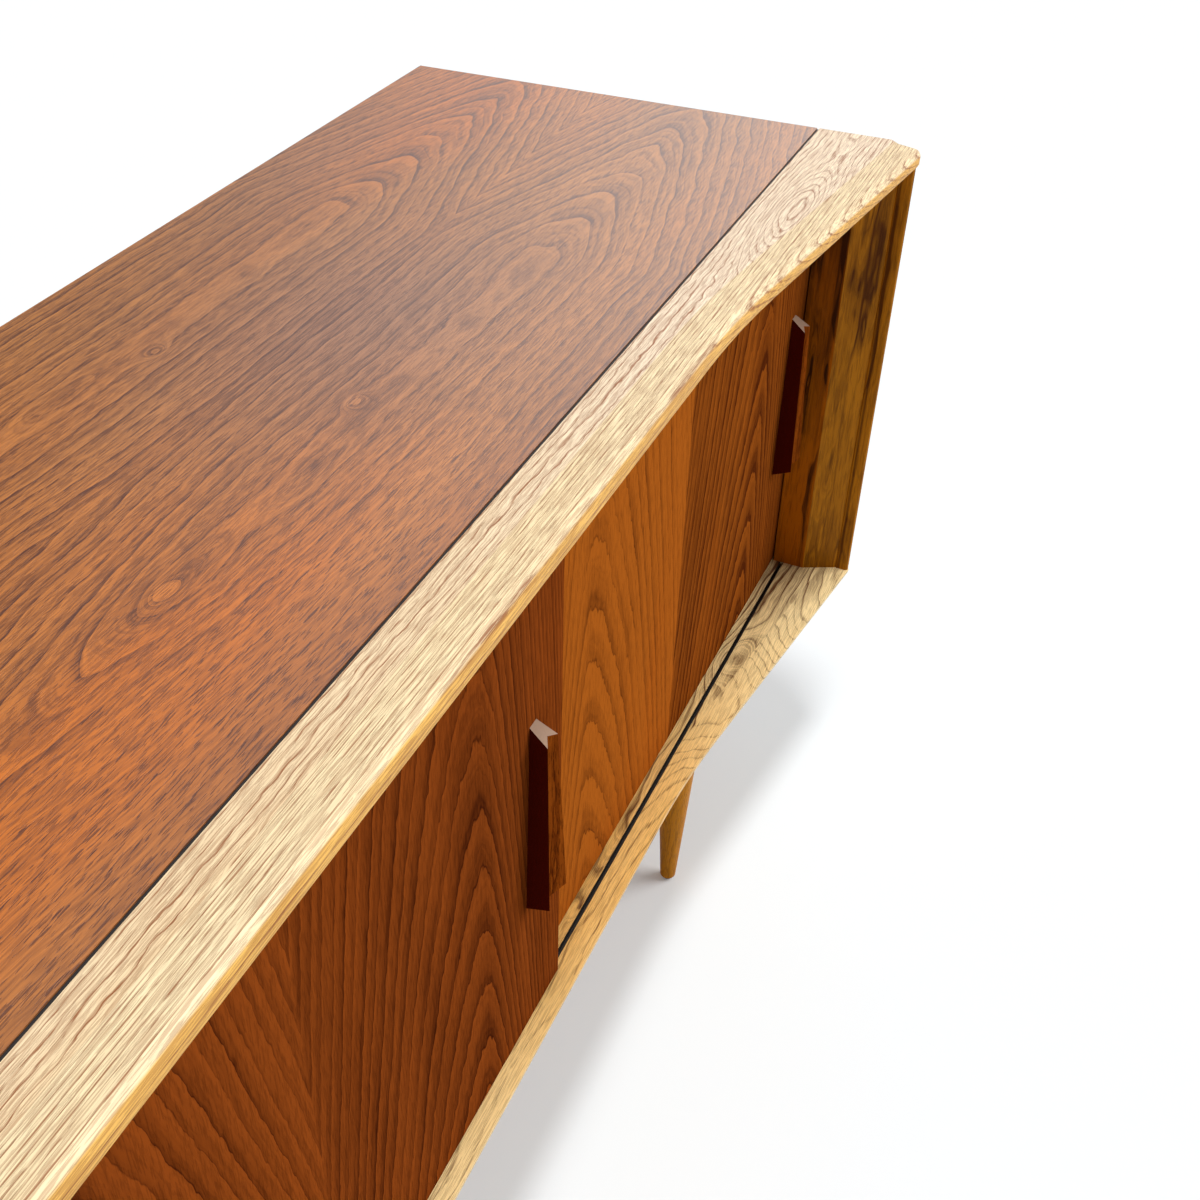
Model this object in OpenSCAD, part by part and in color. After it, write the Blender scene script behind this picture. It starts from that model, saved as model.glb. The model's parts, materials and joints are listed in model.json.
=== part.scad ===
// Media cabinet: a mitred walnut case with a bow-tie shaped ash front frame,
// three sliding doors in two tracks and four turned legs.
// Millimetres. +Z is up, the doors face -Y, the origin is on the floor at the
// middle of the footprint. Depths named u are counted from the back edge.

/* [Case] */
// Length of the case, end to end
case_len = 1700; // [1500:10:2000]
// Depth of the case at the tips of the front frame
case_depth = 456; // [430:1:520]
// Height of the top surface above the floor
case_top = 635; // [560:1:760]
// Clear height inside, from the floor board to the top board
inner_h = 380; // [320:1:460]
// Thickness of the four case boards
board_t = 30; // [26:1:36]

/* [Front frame] */
// How far the nose stands back from the tips along the middle of the case
bow_depth = 39; // [20:1:50]
// Angle at which the nose flares towards each end, degrees
flare_angle = 7; // [5:0.1:9]
// Radius of the bend between the straight nose and the flare
bend_r = 900; // [500:10:1200]
// Distance from the rear doors' back face to the dark line that bounds the walnut
line_gap = 1.6; // [1:0.1:6]
// Width of the dark line
line_w = 2; // [1:0.5:4]
// How far the dark line lies below the surface
line_sunk = 0.8; // [0.2:0.1:1.5]
// Width of the nose board, nose to glue line
nose_board_w = 27; // [22:1:30]
// Thickness of the frame at the nose, along the middle
nose_t = 12; // [10:0.5:16]
// Thickness of the frame at the nose, at the tips
nose_tip_t = 8.7; // [7:0.1:12]
// Thickness of the sharp edge of a nose
lip_edge = 1; // [0.6:0.1:2]
// How far back the top nose begins to round over
nose_brow = 8; // [4:0.5:12]
// How far the lower nose's front runs back under it
foot_brow = 5; // [3:0.5:6]
// How far the lower nose stands behind the upper one, along the middle
foot_set_mid = 4.5; // [1:0.5:6]
// How far the lower nose stands behind the upper one, at the tips
foot_set_tip = 3; // [1:0.5:5]
// Distance behind the tips at which the frame reaches full thickness
flare_run = 43; // [40:1:50]
// Distance from the middle door's face to the foot of the flare, along the middle
flare_lead = 2.3; // [1.5:0.1:4]
// Distance behind the tips of the arris on the sides' flared faces
arris_run = 14.5; // [10:0.5:20]
// How far behind the tips the plan corners begin to be cut away
ear_len = 27.5; // [22:0.5:35]
// Side of the small chamfer that begins each cut-away corner
ear_step = 6.5; // [4:0.5:9]
// How far in from the end the side nose stands
ear_in = 11.5; // [9:0.5:14]
// Rounding of the tips of the cut-away corners
ear_round = 6; // [3:0.5:9]
// Thickness of the side nose
side_nose_t = 5; // [4:0.5:7]

/* [Doors] */
// Thickness of a door
door_t = 12; // [9:0.5:14]
// Distance from the straight nose back to the front face of the rear doors
rear_face_in = 34.4; // [33:0.1:40]
// Clear gap between the rear doors and the front door
door_gap = 3.6; // [2:0.1:6]
// How far neighbouring doors overlap when closed
door_overlap = 30; // [15:1:60]
// How far an outer door enters the rebate in the side
door_tuck = 4; // [2:0.5:5]
// Gap above and below each door
door_clear = 1; // [0.5:0.1:2]
// Thickness of the tongues that run in the tracks
tongue_t = 2; // [1.6:0.1:2.4]
// Reach of the lower tongue
foot_tongue = 4; // [3:0.5:5]
// Reach of the upper tongue
head_tongue = 6.5; // [5:0.5:8]
// Width of a groove for a track liner
track_w = 3.6; // [3.4:0.1:4.4]
// Depth of the lower grooves
track_d = 5.5; // [5:0.5:8]
// Depth of the upper grooves, deep enough to lift a door out
head_groove_d = 13; // [11:0.5:16]
// Wall of the track liners
liner_t = 0.5; // [0.4:0.1:0.7]

/* [Pulls] */
// Length of a pull where it meets the door
pull_len = 151; // [120:1:200]
// Width of a pull where it meets the door, at its top
pull_top_w = 9; // [8:0.5:12]
// Width of a pull where it meets the door, at its foot
pull_foot_w = 20; // [12:0.5:24]
// Width across the lips of a pull at its top
pull_lip_w = 14; // [12:0.5:18]
// How far the lips stand off the door at the top
pull_top_out = 12.7; // [11:0.1:16]
// How far the lips stand off the door at the foot
pull_foot_out = 17.4; // [14:0.1:20]
// Depth of the groove between the lips at the top
pull_vee = 3.6; // [2:0.2:5]
// How far the ends of a pull slope back
pull_end_slope = 9; // [3:0.5:10]
// How far the pulls stand above the middle of the doors
pull_raise = 7.5; // [0:0.5:20]
// Distance from an outer door's edge to the middle of its pull
outer_pull_in = 35; // [32:1:60]
// Distance from the middle door's edges to its pulls
middle_pull_in = 41; // [32:1:60]
// Spacing of the two screws that hold a pull
pull_screw_gap = 96; // [64:1:110]

/* [Legs] */
// Distance from the end of the case to the middle of a leg
leg_end_in = 260; // [200:1:320]
// Distance from the straight nose back to the middle of a front leg
front_leg_in = 40; // [38:1:90]
// Distance from the back edge to the middle of a rear leg
rear_leg_u = 79; // [50:1:120]
// Diameter of a leg where it meets the case
leg_top_d = 38; // [32:1:44]
// Diameter of a leg just above its foot
leg_foot_d = 14.5; // [12:0.5:22]
// Rounding of the foot
foot_round = 3; // [1:0.5:4]
// Thickness of the glide under the foot
glide_t = 2; // [1:0.5:4]
// Diameter of the hanger bolt
bolt_d = 8; // [6:1:10]
// Outside diameter of the threaded insert
insert_d = 12; // [12:0.5:15]
// Length of the threaded insert
insert_len = 18; // [12:1:20]

/* [Inside] */
// Thickness of the partitions
partition_t = 18; // [15:1:22]
// Depth of the housings that hold the partitions
housing_d = 5; // [3:0.5:8]
// Thickness of the shelves
shelf_t = 18; // [15:1:22]
// Height of a shelf's upper face above the floor board
shelf_h = 190; // [150:1:240]
// How far the shelves stand back from the partitions' front edges
shelf_back = 26; // [10:1:60]
// Thickness of the back panel
back_t = 6; // [4:0.5:9]
// How far the back panel laps onto the case boards
back_lap = 10; // [8:1:14]
// Diameter of a cable hole
cable_hole_d = 60; // [40:1:70]
// Height of the cable holes above the floor board
cable_hole_h = 80; // [60:1:110]
// Diameter of a shelf pin
pin_d = 5; // [4:0.5:7]
// Length of a shelf pin
pin_len = 16; // [14:1:20]

/* [Hidden] */
$fn = 64;
fit_gap = 0.05;
slip_gap = 0.3;
cut = 1;
arc_steps = 8;
round_steps = 5;

half_len = case_len / 2;
inner_half = half_len - board_t;
floor_z = case_top - board_t - inner_h;
under_z = floor_z - board_t;
head_z = floor_z + inner_h;
nose_mid_u = case_depth - bow_depth;
rear_face_u = nose_mid_u - rear_face_in;
band_u = rear_face_u - door_t - line_gap;
panel_u = band_u - line_w;
front_leg_u = nose_mid_u - front_leg_in;
flare_mid_run = rear_face_in - door_gap - door_t - flare_lead;
tip_in = ear_in + side_nose_t / 2;
tip_flat = 10;
tip_d = tip_in + tip_flat;
flare_lap = 0.2;

// stations of the bow: straight, bend, flare, for the right-hand half
bend_x = half_len - tip_d - bow_depth / tan(flare_angle);
bend_run = bend_r * tan(flare_angle / 2);
bend_start = bend_x - bend_run;
flare_over = tip_d + 2 * board_t;
flare_len = (half_len - bend_x) / cos(flare_angle) - bend_run + flare_over;

// doors
front_back_u = rear_face_u + door_gap;
front_face_u = front_back_u + door_t;
rear_mid_u = rear_face_u - door_t / 2;
front_mid_u = front_back_u + door_t / 2;
door_w = (door_overlap + inner_half + door_tuck) * 2 / 3;
door_z0 = floor_z + door_clear;
door_z1 = head_z - door_clear;
outer_door_x = inner_half + door_tuck - door_w / 2;
rebate_front_gap = 1.6;
rebate_back_gap = 0.8;
rebate_front_u = rear_face_u + rebate_front_gap;
rebate_back_u = rear_face_u - door_t - rebate_back_gap;
rebate_d = door_tuck + 2;
tongue_end_in = door_tuck + 2;
pull_z = (door_z0 + door_z1) / 2 + pull_raise;
outer_pull_x = outer_door_x + door_w / 2 - outer_pull_in;
middle_pull_x = door_w / 2 - middle_pull_in;
pull_fix_d = 3.5;
pull_head_d = 7;
pull_head_h = 2.5;
pull_fix_in = 7;
liner_floor_t = 1;

// legs
leg_x = half_len - leg_end_in;
leg_len = under_z - glide_t;
glide_d = leg_foot_d - 2 * foot_round;
bolt_in_leg = 32;

// inside
partition_x = door_w / 2 - door_overlap / 2;
partition_front_u = panel_u - 1;
shelf_front_u = partition_front_u - shelf_back;
shelf_gap = 0.5;
shelf_top_z = floor_z + shelf_h;
shelf_under_z = shelf_top_z - shelf_t;
pin_end_in = 50;
pin_z = shelf_under_z - pin_d / 2;
back_fix_d = 3;
back_head_d = 6;
back_head_h = 1.8;
back_fix_len = 22;
back_fix_in = back_lap / 2;
back_fix_row = [-0.9, -0.45, 0, 0.45, 0.9];
back_fix_column = [0.25, 0.75];

walnut = "#96593a";
ash = "#e6cf9e";
brown_ash = "#8a5a1c";
door_walnut = "#9c4f1c";
dark_line = "#1b1412";

// ---- places -----------------------------------------------------------

// y of a depth counted from the back edge
function back_y(u) = case_depth / 2 - u;

// plan places along the right half of the bow, p0 behind the nose in the middle
// and p1 behind it at the end: round the bend, then out along the flare
function bow_half(p0, p1) = let(
    turn = [cos(flare_angle), sin(flare_angle)],
    bend_share = bend_r * sin(flare_angle) / (half_len - bend_start),
    bend = [for (i = [0 : arc_steps]) let(
            a = flare_angle * i / arc_steps,
            r = bend_r + p0 + (p1 - p0) * bend_share * i / arc_steps)
        [bend_start + r * sin(a), nose_mid_u + bend_r - r * cos(a)]],
    nose_end = [bend_start + bend_r * sin(flare_angle),
                nose_mid_u + bend_r - bend_r * cos(flare_angle)] + flare_len * turn)
    concat(bend, [nose_end + p1 * [turn[1], -turn[0]]]);

// the same from the left end to the right end, as [x, y]
function bow(p0, p1) = let(half = bow_half(p0, p1), n = len(half))
    concat([for (i = [n - 1 : -1 : 0]) [-half[i][0], back_y(half[i][1])]],
           [for (i = [0 : n - 1]) [half[i][0], back_y(half[i][1])]]);

// how far each plan place of the bow lies on the way from the middle, 0, to a tip, 1
function bow_shares() = let(
    bend_share = bend_r * sin(flare_angle) / (half_len - bend_start),
    half = concat([for (i = [0 : arc_steps]) bend_share * i / arc_steps], [1]),
    n = len(half))
    concat([for (i = [n - 1 : -1 : 0]) half[i]], half);

// points of a quarter round, from one angle to another
function quarter(c, r, a0, a1) =
    [for (i = [0 : round_steps]) let(a = a0 + (a1 - a0) * i / round_steps)
        c + r * [cos(a), sin(a)]];

// ---- shared shapes ----------------------------------------------------

// a shape drawn in X and Z, carried from depth u0 forward to u1
module carry(u0, u1) {
    translate([0, back_y(u0), 0])
        rotate([90, 0, 0])
            linear_extrude(u1 - u0)
                children();
}

// a section carried along the bow; each of its points is the distance behind
// the nose in the middle, the same at the tips, and the height at each
module sweep_bow(section) {
    lines = [for (s = section) bow(s[0], s[1])];
    shares = bow_shares();
    n = len(shares);
    m = len(section);
    points = [for (i = [0 : n - 1]) for (k = [0 : m - 1]) let(s = section[k])
        [lines[k][i][0], lines[k][i][1], s[2] + (s[3] - s[2]) * shares[i]]];
    sides = [for (i = [0 : n - 2]) for (k = [0 : m - 1]) let(j = (k + 1) % m)
        each [[i * m + j, i * m + k, (i + 1) * m + k],
              [i * m + j, (i + 1) * m + k, (i + 1) * m + j]]];
    first = [[for (k = [0 : m - 1]) k]];
    last = [[for (k = [m - 1 : -1 : 0]) (n - 1) * m + k]];
    polyhedron(points, concat(sides, first, last), convexity = 4);
}

// plan outline of the case with its cut-away front corners
module plan_outline() {
    right = concat(
        [[half_len, back_y(0)],
         [half_len, back_y(case_depth - ear_len)],
         [half_len - ear_step, back_y(case_depth - ear_len + ear_step)]],
        quarter([half_len - ear_in - ear_round, back_y(case_depth - ear_round)], ear_round, 0, -90),
        [[half_len - tip_d, back_y(case_depth)]]);
    polygon(concat(right, [for (i = [len(right) - 1 : -1 : 0]) [-right[i][0], right[i][1]]]));
}

module plan_block(z0, z1) {
    translate([0, 0, z0]) linear_extrude(z1 - z0) plan_outline();
}

// the top board's mitred outline in X and Z, sunk from the surface
module top_mitre(sunk = 0) {
    polygon([[-half_len + sunk, case_top - sunk], [half_len - sunk, case_top - sunk],
             [inner_half, head_z], [-inner_half, head_z]]);
}

// the bottom board's mitred outline in X and Z
module bottom_mitre(sunk = 0) {
    polygon([[-half_len + sunk, under_z + sunk], [-inner_half, floor_z],
             [inner_half, floor_z], [half_len - sunk, under_z + sunk]]);
}

// a side board's outline in X and Z, mitred at the top and at the bottom
module side_mitre(sunk = 0) {
    polygon([[half_len - sunk, case_top - sunk], [inner_half, head_z],
             [inner_half, floor_z], [half_len - sunk, under_z + sunk]]);
}

// a side board of the front frame: mitred at the top, standing on the floor board
module side_stand() {
    polygon([[half_len, case_top], [inner_half, head_z],
             [inner_half, floor_z], [half_len, floor_z]]);
}

module on_side(side) {
    if (side < 0) mirror([1, 0, 0]) children();
    else children();
}

// ---- pieces cut out of the case boards --------------------------------

module back_rabbet() {
    translate([-inner_half - back_lap - fit_gap, back_y(back_t + fit_gap),
               floor_z - back_lap - fit_gap])
        cube([2 * (inner_half + back_lap + fit_gap), back_t + fit_gap + cut,
              inner_h + 2 * (back_lap + fit_gap)]);
}

// places of the back panel's screws, as [x, z]
function back_screw_places() = let(
    x1 = inner_half + back_lap - back_fix_in,
    z0 = floor_z - back_lap + back_fix_in,
    z1 = head_z + back_lap - back_fix_in)
    concat([for (k = back_fix_row, z = [z0, z1]) [k * x1, z]],
           [for (s = [-1, 1], k = back_fix_column) [s * x1, z0 + k * (z1 - z0)]]);

module back_screw(d, head_d, grow = 0) {
    rotate([90, 0, 0]) {
        cylinder(h = back_fix_len + grow, d = d);
        cylinder(h = back_head_h, d1 = head_d, d2 = d);
    }
    if (grow > 0) rotate([-90, 0, 0]) cylinder(h = cut, d = head_d);
}

module back_screw_holes() {
    for (p = back_screw_places())
        translate([p[0], back_y(0), p[1]])
            back_screw(back_fix_d + 2 * fit_gap, back_head_d + 2 * fit_gap, slip_gap);
}

module partition_housings() {
    for (s = [-1, 1], z = [floor_z - housing_d, head_z])
        translate([s * partition_x - partition_t / 2 - fit_gap, back_y(panel_u + cut), z])
            cube([partition_t + 2 * fit_gap, panel_u - back_t + cut, housing_d]);
}

// a straight groove for a door, right through the front frame's width
module door_groove(mid_u, z0, z1, reach) {
    translate([-reach, back_y(mid_u + track_w / 2), z0])
        cube([2 * reach, track_w, z1 - z0]);
}

module lower_grooves() {
    for (u = [rear_mid_u, front_mid_u])
        door_groove(u, floor_z - track_d, floor_z + cut, inner_half - slip_gap);
}

module upper_grooves() {
    for (u = [rear_mid_u, front_mid_u])
        door_groove(u, head_z - cut, head_z + head_groove_d, inner_half);
}

module leg_places() {
    for (s = [-1, 1], u = [front_leg_u, rear_leg_u])
        translate([s * leg_x, back_y(u), under_z]) children();
}

module insert_holes() {
    leg_places()
        translate([0, 0, -cut]) cylinder(h = insert_len + slip_gap + cut, d = insert_d + 2 * fit_gap);
}

// depths from the back edge of the shelf pins
function pin_us() = [back_t + pin_end_in, shelf_front_u - pin_end_in];

// X of each face that carries shelf pins, with the way the pins stand out of it
function pin_faces() = [for (s = [-1, 1])
    each [[s * inner_half, -s], [s * (partition_x + partition_t / 2), s],
          [s * (partition_x - partition_t / 2), -s]]];

module pins(d, sunk) {
    for (f = pin_faces(), u = pin_us())
        translate([f[0] - f[1] * sunk, back_y(u), pin_z])
            rotate([0, 90 * f[1], 0])
                cylinder(h = pin_len / 2 + sunk, d = d);
}

module pin_holes() {
    pins(pin_d + 2 * fit_gap, pin_len / 2 + slip_gap);
}

// ---- top --------------------------------------------------------------

module top_panel() {
    color(walnut)
        difference() {
            carry(0, panel_u) top_mitre();
            back_rabbet();
            back_screw_holes();
            partition_housings();
        }
}

module top_line() {
    color(dark_line) carry(panel_u, band_u) top_mitre(line_sunk);
}

// what is taken off the underside of the frame: a slope from its foot up to the face
// of the nose, which lies face_mid and face_tip behind its front; z is the underside
module flare_cutter(z, face_mid, face_tip) {
    rise_mid = (board_t - nose_t) * (1 + flare_lap / (flare_mid_run - face_mid));
    rise_tip = (board_t - nose_tip_t) * (1 + flare_lap / (flare_run - face_tip));
    sweep_bow([[flare_mid_run, flare_run, z, z],
               [face_mid - flare_lap, face_tip - flare_lap, z + rise_mid, z + rise_tip],
               [-cut, -cut, z + rise_mid, z + rise_tip],
               [-cut, -cut, z - cut, z - cut],
               [flare_mid_run, flare_run, z - cut, z - cut]]);
}

module top_flare() {
    flare_cutter(head_z, 0, 0);
}

module bottom_flare() {
    flare_cutter(under_z, foot_set_mid + foot_brow, foot_set_tip + foot_brow);
}

// plan of the board between the dark line and the glue line
module band_plan() {
    polygon(concat([[-half_len - flare_over, back_y(band_u)]],
                   bow(nose_board_w, nose_board_w),
                   [[half_len + flare_over, back_y(band_u)]]));
}

// a nose board at full thickness, kept inside the plan outline
module nose_sweep(z0, z1, front) {
    intersection() {
        sweep_bow(concat([[nose_board_w, nose_board_w, z0, z0], [nose_board_w, nose_board_w, z1, z1]],
                         front));
        plan_block(z0, z1);
    }
}

// the top nose, its front rounded over down to a sharp lower edge
module top_nose_blank() {
    fall = nose_t - lip_edge;
    tip_fall = nose_tip_t - lip_edge;
    front = [for (i = [0 : round_steps]) let(
            a = 90 * i / round_steps,
            p = nose_brow * (1 - sin(a)))
        [p, p, case_top - fall * (1 - cos(a)), case_top - tip_fall * (1 - cos(a))]];
    nose_sweep(head_z, case_top, concat(front, [[0, 0, head_z, head_z]]));
}

// the lower nose, flat to a sharp upper edge and then rounded back under it
module bottom_nose_blank() {
    edge_z = floor_z - lip_edge;
    fall = nose_t - 2 * lip_edge;
    tip_fall = nose_tip_t - 2 * lip_edge;
    front = [for (i = [0 : round_steps]) let(
            a = 90 * i / round_steps,
            p = foot_brow * (1 - cos(a)))
        [foot_set_mid + p, foot_set_tip + p, edge_z - fall * sin(a), edge_z - tip_fall * sin(a)]];
    nose_sweep(under_z, floor_z, concat(
        [[foot_set_mid, foot_set_tip, floor_z, floor_z]], front,
        [[foot_set_mid + foot_brow, foot_set_tip + foot_brow, under_z, under_z]]));
}

module band_block(z0, z1) {
    intersection() {
        translate([0, 0, z0]) linear_extrude(z1 - z0) band_plan();
        plan_block(z0, z1);
    }
}

module top_band() {
    color(ash)
        difference() {
            intersection() {
                band_block(head_z, case_top);
                carry(0, case_depth + cut) top_mitre();
            }
            top_flare();
            upper_grooves();
        }
}

module top_nose() {
    color(ash)
        difference() {
            intersection() {
                top_nose_blank();
                carry(0, case_depth + cut) top_mitre();
            }
            top_flare();
            upper_grooves();
        }
}

// ---- sides ------------------------------------------------------------

module side_panel(side) {
    color(walnut)
        difference() {
            on_side(side) carry(0, panel_u) side_mitre();
            back_rabbet();
            back_screw_holes();
            pin_holes();
        }
}

module side_line(side) {
    color(dark_line) on_side(side) carry(panel_u, band_u) side_mitre(line_sunk);
}

// the side's band; its rebate takes the edge of the rear door
module side_band(side) {
    joint_u = case_depth - flare_run;
    color(brown_ash)
        on_side(side)
            difference() {
                intersection() {
                    carry(band_u, joint_u) side_stand();
                    plan_block(floor_z, case_top);
                }
                translate([inner_half - cut, back_y(rebate_front_u), floor_z - cut])
                    cube([rebate_d + cut, rebate_front_u - rebate_back_u, inner_h + cut]);
            }
}

// plan of the side's nose board, with a fine quirk along its arris
module side_nose_plan() {
    joint_u = case_depth - flare_run;
    arris_u = case_depth - arris_run;
    inner_x = half_len - ear_in - side_nose_t;
    nose_u = case_depth - side_nose_t;
    quirk = 0.9;
    polygon(concat(
        [[half_len, back_y(joint_u)],
         [half_len, back_y(case_depth - ear_len)],
         [half_len - ear_step, back_y(case_depth - ear_len + ear_step)]],
        quarter([half_len - tip_in, back_y(nose_u)], side_nose_t / 2, 0, -180),
        [[inner_x, back_y(arris_u + quirk)],
         [inner_x + quirk, back_y(arris_u)],
         [inner_x, back_y(arris_u - quirk)],
         [inner_half, back_y(joint_u)]]));
}

module side_nose(side) {
    color(brown_ash)
        difference() {
            on_side(side)
                translate([0, 0, floor_z]) linear_extrude(case_top - floor_z) side_nose_plan();
            difference() {
                carry(0, case_depth + cut) top_mitre();
                top_flare();
            }
        }
}

// ---- bottom -----------------------------------------------------------

module bottom_panel() {
    color(walnut)
        difference() {
            carry(0, panel_u) bottom_mitre();
            back_rabbet();
            back_screw_holes();
            partition_housings();
            insert_holes();
        }
}

module bottom_line() {
    color(dark_line)
        difference() {
            carry(panel_u, band_u) bottom_mitre(line_sunk);
            insert_holes();
        }
}

module bottom_band() {
    color(ash)
        difference() {
            band_block(under_z, floor_z);
            bottom_flare();
            lower_grooves();
            insert_holes();
        }
}

module bottom_nose() {
    color(ash)
        difference() {
            bottom_nose_blank();
            bottom_flare();
            lower_grooves();
        }
}

// a channel pressed into the groove, open above for the door's tongue
module track_liner(mid_u) {
    reach = inner_half - slip_gap - fit_gap;
    color(dark_line)
        difference() {
            translate([-reach, back_y(mid_u + track_w / 2 - fit_gap), floor_z - track_d])
                cube([2 * reach, track_w - 2 * fit_gap, track_d]);
            translate([-reach - cut, back_y(mid_u + track_w / 2 - liner_t),
                       floor_z - track_d + liner_floor_t])
                cube([2 * (reach + cut), track_w - 2 * liner_t, track_d]);
        }
}

module track_liner_rear() track_liner(rear_mid_u);
module track_liner_front() track_liner(front_mid_u);

// ---- inside -----------------------------------------------------------

module partition(side) {
    color(walnut)
        difference() {
            translate([side * partition_x - partition_t / 2, back_y(partition_front_u),
                       floor_z - housing_d])
                cube([partition_t, partition_front_u - back_t, inner_h + 2 * housing_d]);
            pin_holes();
        }
}

module partition_left() partition(-1);
module partition_right() partition(1);

module shelf(x0, x1) {
    color(walnut)
        translate([x0 + shelf_gap, back_y(shelf_front_u), shelf_under_z])
            cube([x1 - x0 - 2 * shelf_gap, shelf_front_u - back_t - shelf_gap, shelf_t]);
}

module shelf_left() shelf(-inner_half, -partition_x - partition_t / 2);
module shelf_middle() shelf(-partition_x + partition_t / 2, partition_x - partition_t / 2);
module shelf_right() shelf(partition_x + partition_t / 2, inner_half);

module shelf_pins() {
    color("goldenrod") pins(pin_d, pin_len / 2);
}

// X of the cable holes, one behind each compartment
function cable_xs() = let(x = (inner_half + partition_x + partition_t / 2) / 2) [-x, 0, x];

module back_panel() {
    color(walnut)
        difference() {
            translate([-inner_half - back_lap, back_y(back_t), floor_z - back_lap])
                cube([2 * (inner_half + back_lap), back_t, inner_h + 2 * back_lap]);
            back_screw_holes();
            for (x = cable_xs())
                translate([x, back_y(-cut), floor_z + cable_hole_h])
                    rotate([90, 0, 0])
                        cylinder(h = back_t + 2 * cut, d = cable_hole_d, $fn = 96);
        }
}

module back_screws() {
    color("silver")
        for (p = back_screw_places())
            translate([p[0], back_y(0), p[1]]) back_screw(back_fix_d, back_head_d);
}

// ---- doors ------------------------------------------------------------

// places on a door of its pulls' screws: x of each pull from the door's middle
module pull_screw_places(xs, face_u) {
    for (x = xs, s = [-1, 1])
        translate([x, back_y(face_u - door_t), pull_z + s * pull_screw_gap / 2]) children();
}

module pull_screw(d, head_d, grow = 0) {
    rotate([90, 0, 0]) {
        cylinder(h = door_t + pull_fix_in + grow, d = d);
        cylinder(h = pull_head_h, d1 = head_d, d2 = d);
    }
    if (grow > 0) rotate([-90, 0, 0]) cylinder(h = cut, d = head_d);
}

module pull_screw_holes(xs, face_u) {
    pull_screw_places(xs, face_u)
        pull_screw(pull_fix_d + 2 * fit_gap, pull_head_d + 2 * fit_gap, slip_gap);
}

// a door with its tongues; x is its middle and xs the places of its pulls
module door(x, face_u, xs) {
    color(door_walnut)
        difference() {
            translate([x - door_w / 2, 0, 0]) {
                translate([0, back_y(face_u), door_z0])
                    cube([door_w, door_t, door_z1 - door_z0]);
                translate([tongue_end_in, back_y(face_u - door_t / 2 + tongue_t / 2),
                           floor_z - foot_tongue])
                    cube([door_w - 2 * tongue_end_in, tongue_t,
                          inner_h + foot_tongue + head_tongue]);
            }
            pull_screw_holes(xs, face_u);
        }
}

// half the width of a pull, a way down from its top and a way off the door
function pull_half(down, out) = let(
    taper = (pull_foot_w - pull_top_w) / 2 / pull_len,
    spread = ((pull_lip_w - pull_top_w) / 2 - taper * pull_end_slope) / pull_top_out)
    pull_top_w / 2 + taper * down + spread * out;

// a pull with its back on the plane y = 0, centred on x = 0 and z = 0: a wedge that
// widens downwards, with a groove between two lips; all of its faces are flat
module pull_body() {
    half = pull_len / 2;
    lip_z = half - pull_end_slope;
    top_lip = [pull_half(pull_end_slope, pull_top_out), -pull_top_out, lip_z];
    foot_lip = [pull_half(pull_len - pull_end_slope, pull_foot_out), -pull_foot_out, -lip_z];
    top_out = pull_top_out - pull_vee;
    top_mid = [0, -top_out, half - top_out * pull_end_slope / pull_top_out];
    normal = cross(foot_lip - top_lip, top_mid - top_lip);
    foot_slope = pull_end_slope / pull_foot_out;
    foot_out = (normal * top_lip + normal[2] * half) / (normal[2] * foot_slope - normal[1]);
    foot_mid = [0, -foot_out, foot_out * foot_slope - half];
    foot_half = pull_half(pull_len, 0);
    polyhedron(
        [[-pull_top_w / 2, 0, half], [pull_top_w / 2, 0, half], top_lip, top_mid,
         [-top_lip[0], top_lip[1], top_lip[2]],
         [-foot_half, 0, -half], [foot_half, 0, -half], foot_lip, foot_mid,
         [-foot_lip[0], foot_lip[1], foot_lip[2]]],
        [[0, 1, 3], [1, 2, 3], [0, 3, 4],
         [8, 6, 5], [8, 7, 6], [9, 8, 5],
         [2, 1, 6], [2, 6, 7], [0, 4, 9], [0, 9, 5],
         [3, 2, 7], [3, 7, 8], [4, 3, 8], [4, 8, 9],
         [1, 0, 5], [1, 5, 6]],
        convexity = 4);
}

module pull(x, face_u) {
    color("#4a1d10")
        difference() {
            translate([x, back_y(face_u), pull_z]) pull_body();
            pull_screw_holes([x], face_u);
        }
}

module pull_screws(xs, face_u) {
    color("silver") pull_screw_places(xs, face_u) pull_screw(pull_fix_d, pull_head_d);
}

module door_left() door(-outer_door_x, rear_face_u, [-outer_pull_x]);
module door_middle() door(0, front_face_u, [-middle_pull_x, middle_pull_x]);
module door_right() door(outer_door_x, rear_face_u, [outer_pull_x]);
module pull_left() pull(-outer_pull_x, rear_face_u);
module pull_middle_left() pull(-middle_pull_x, front_face_u);
module pull_middle_right() pull(middle_pull_x, front_face_u);
module pull_right() pull(outer_pull_x, rear_face_u);
module pull_screws_left() pull_screws([-outer_pull_x], rear_face_u);
module pull_screws_middle() pull_screws([-middle_pull_x, middle_pull_x], front_face_u);
module pull_screws_right() pull_screws([outer_pull_x], rear_face_u);

// ---- legs -------------------------------------------------------------

module at_leg(side, u) {
    translate([side * leg_x, back_y(u), 0]) children();
}

module leg(side, u) {
    foot = quarter([leg_foot_d / 2 - foot_round, foot_round], foot_round, -90, -8);
    color(brown_ash)
        at_leg(side, u)
            difference() {
                translate([0, 0, glide_t])
                    rotate_extrude($fn = 96)
                        polygon(concat([[0, 0]], foot,
                            [[leg_top_d / 2, leg_len - 4], [leg_top_d / 2, leg_len - 1],
                             [leg_top_d / 2 - 1, leg_len], [0, leg_len]]));
                translate([0, 0, under_z - bolt_in_leg - slip_gap])
                    cylinder(h = bolt_in_leg + slip_gap + cut, d = bolt_d + 2 * fit_gap);
            }
}

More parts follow.
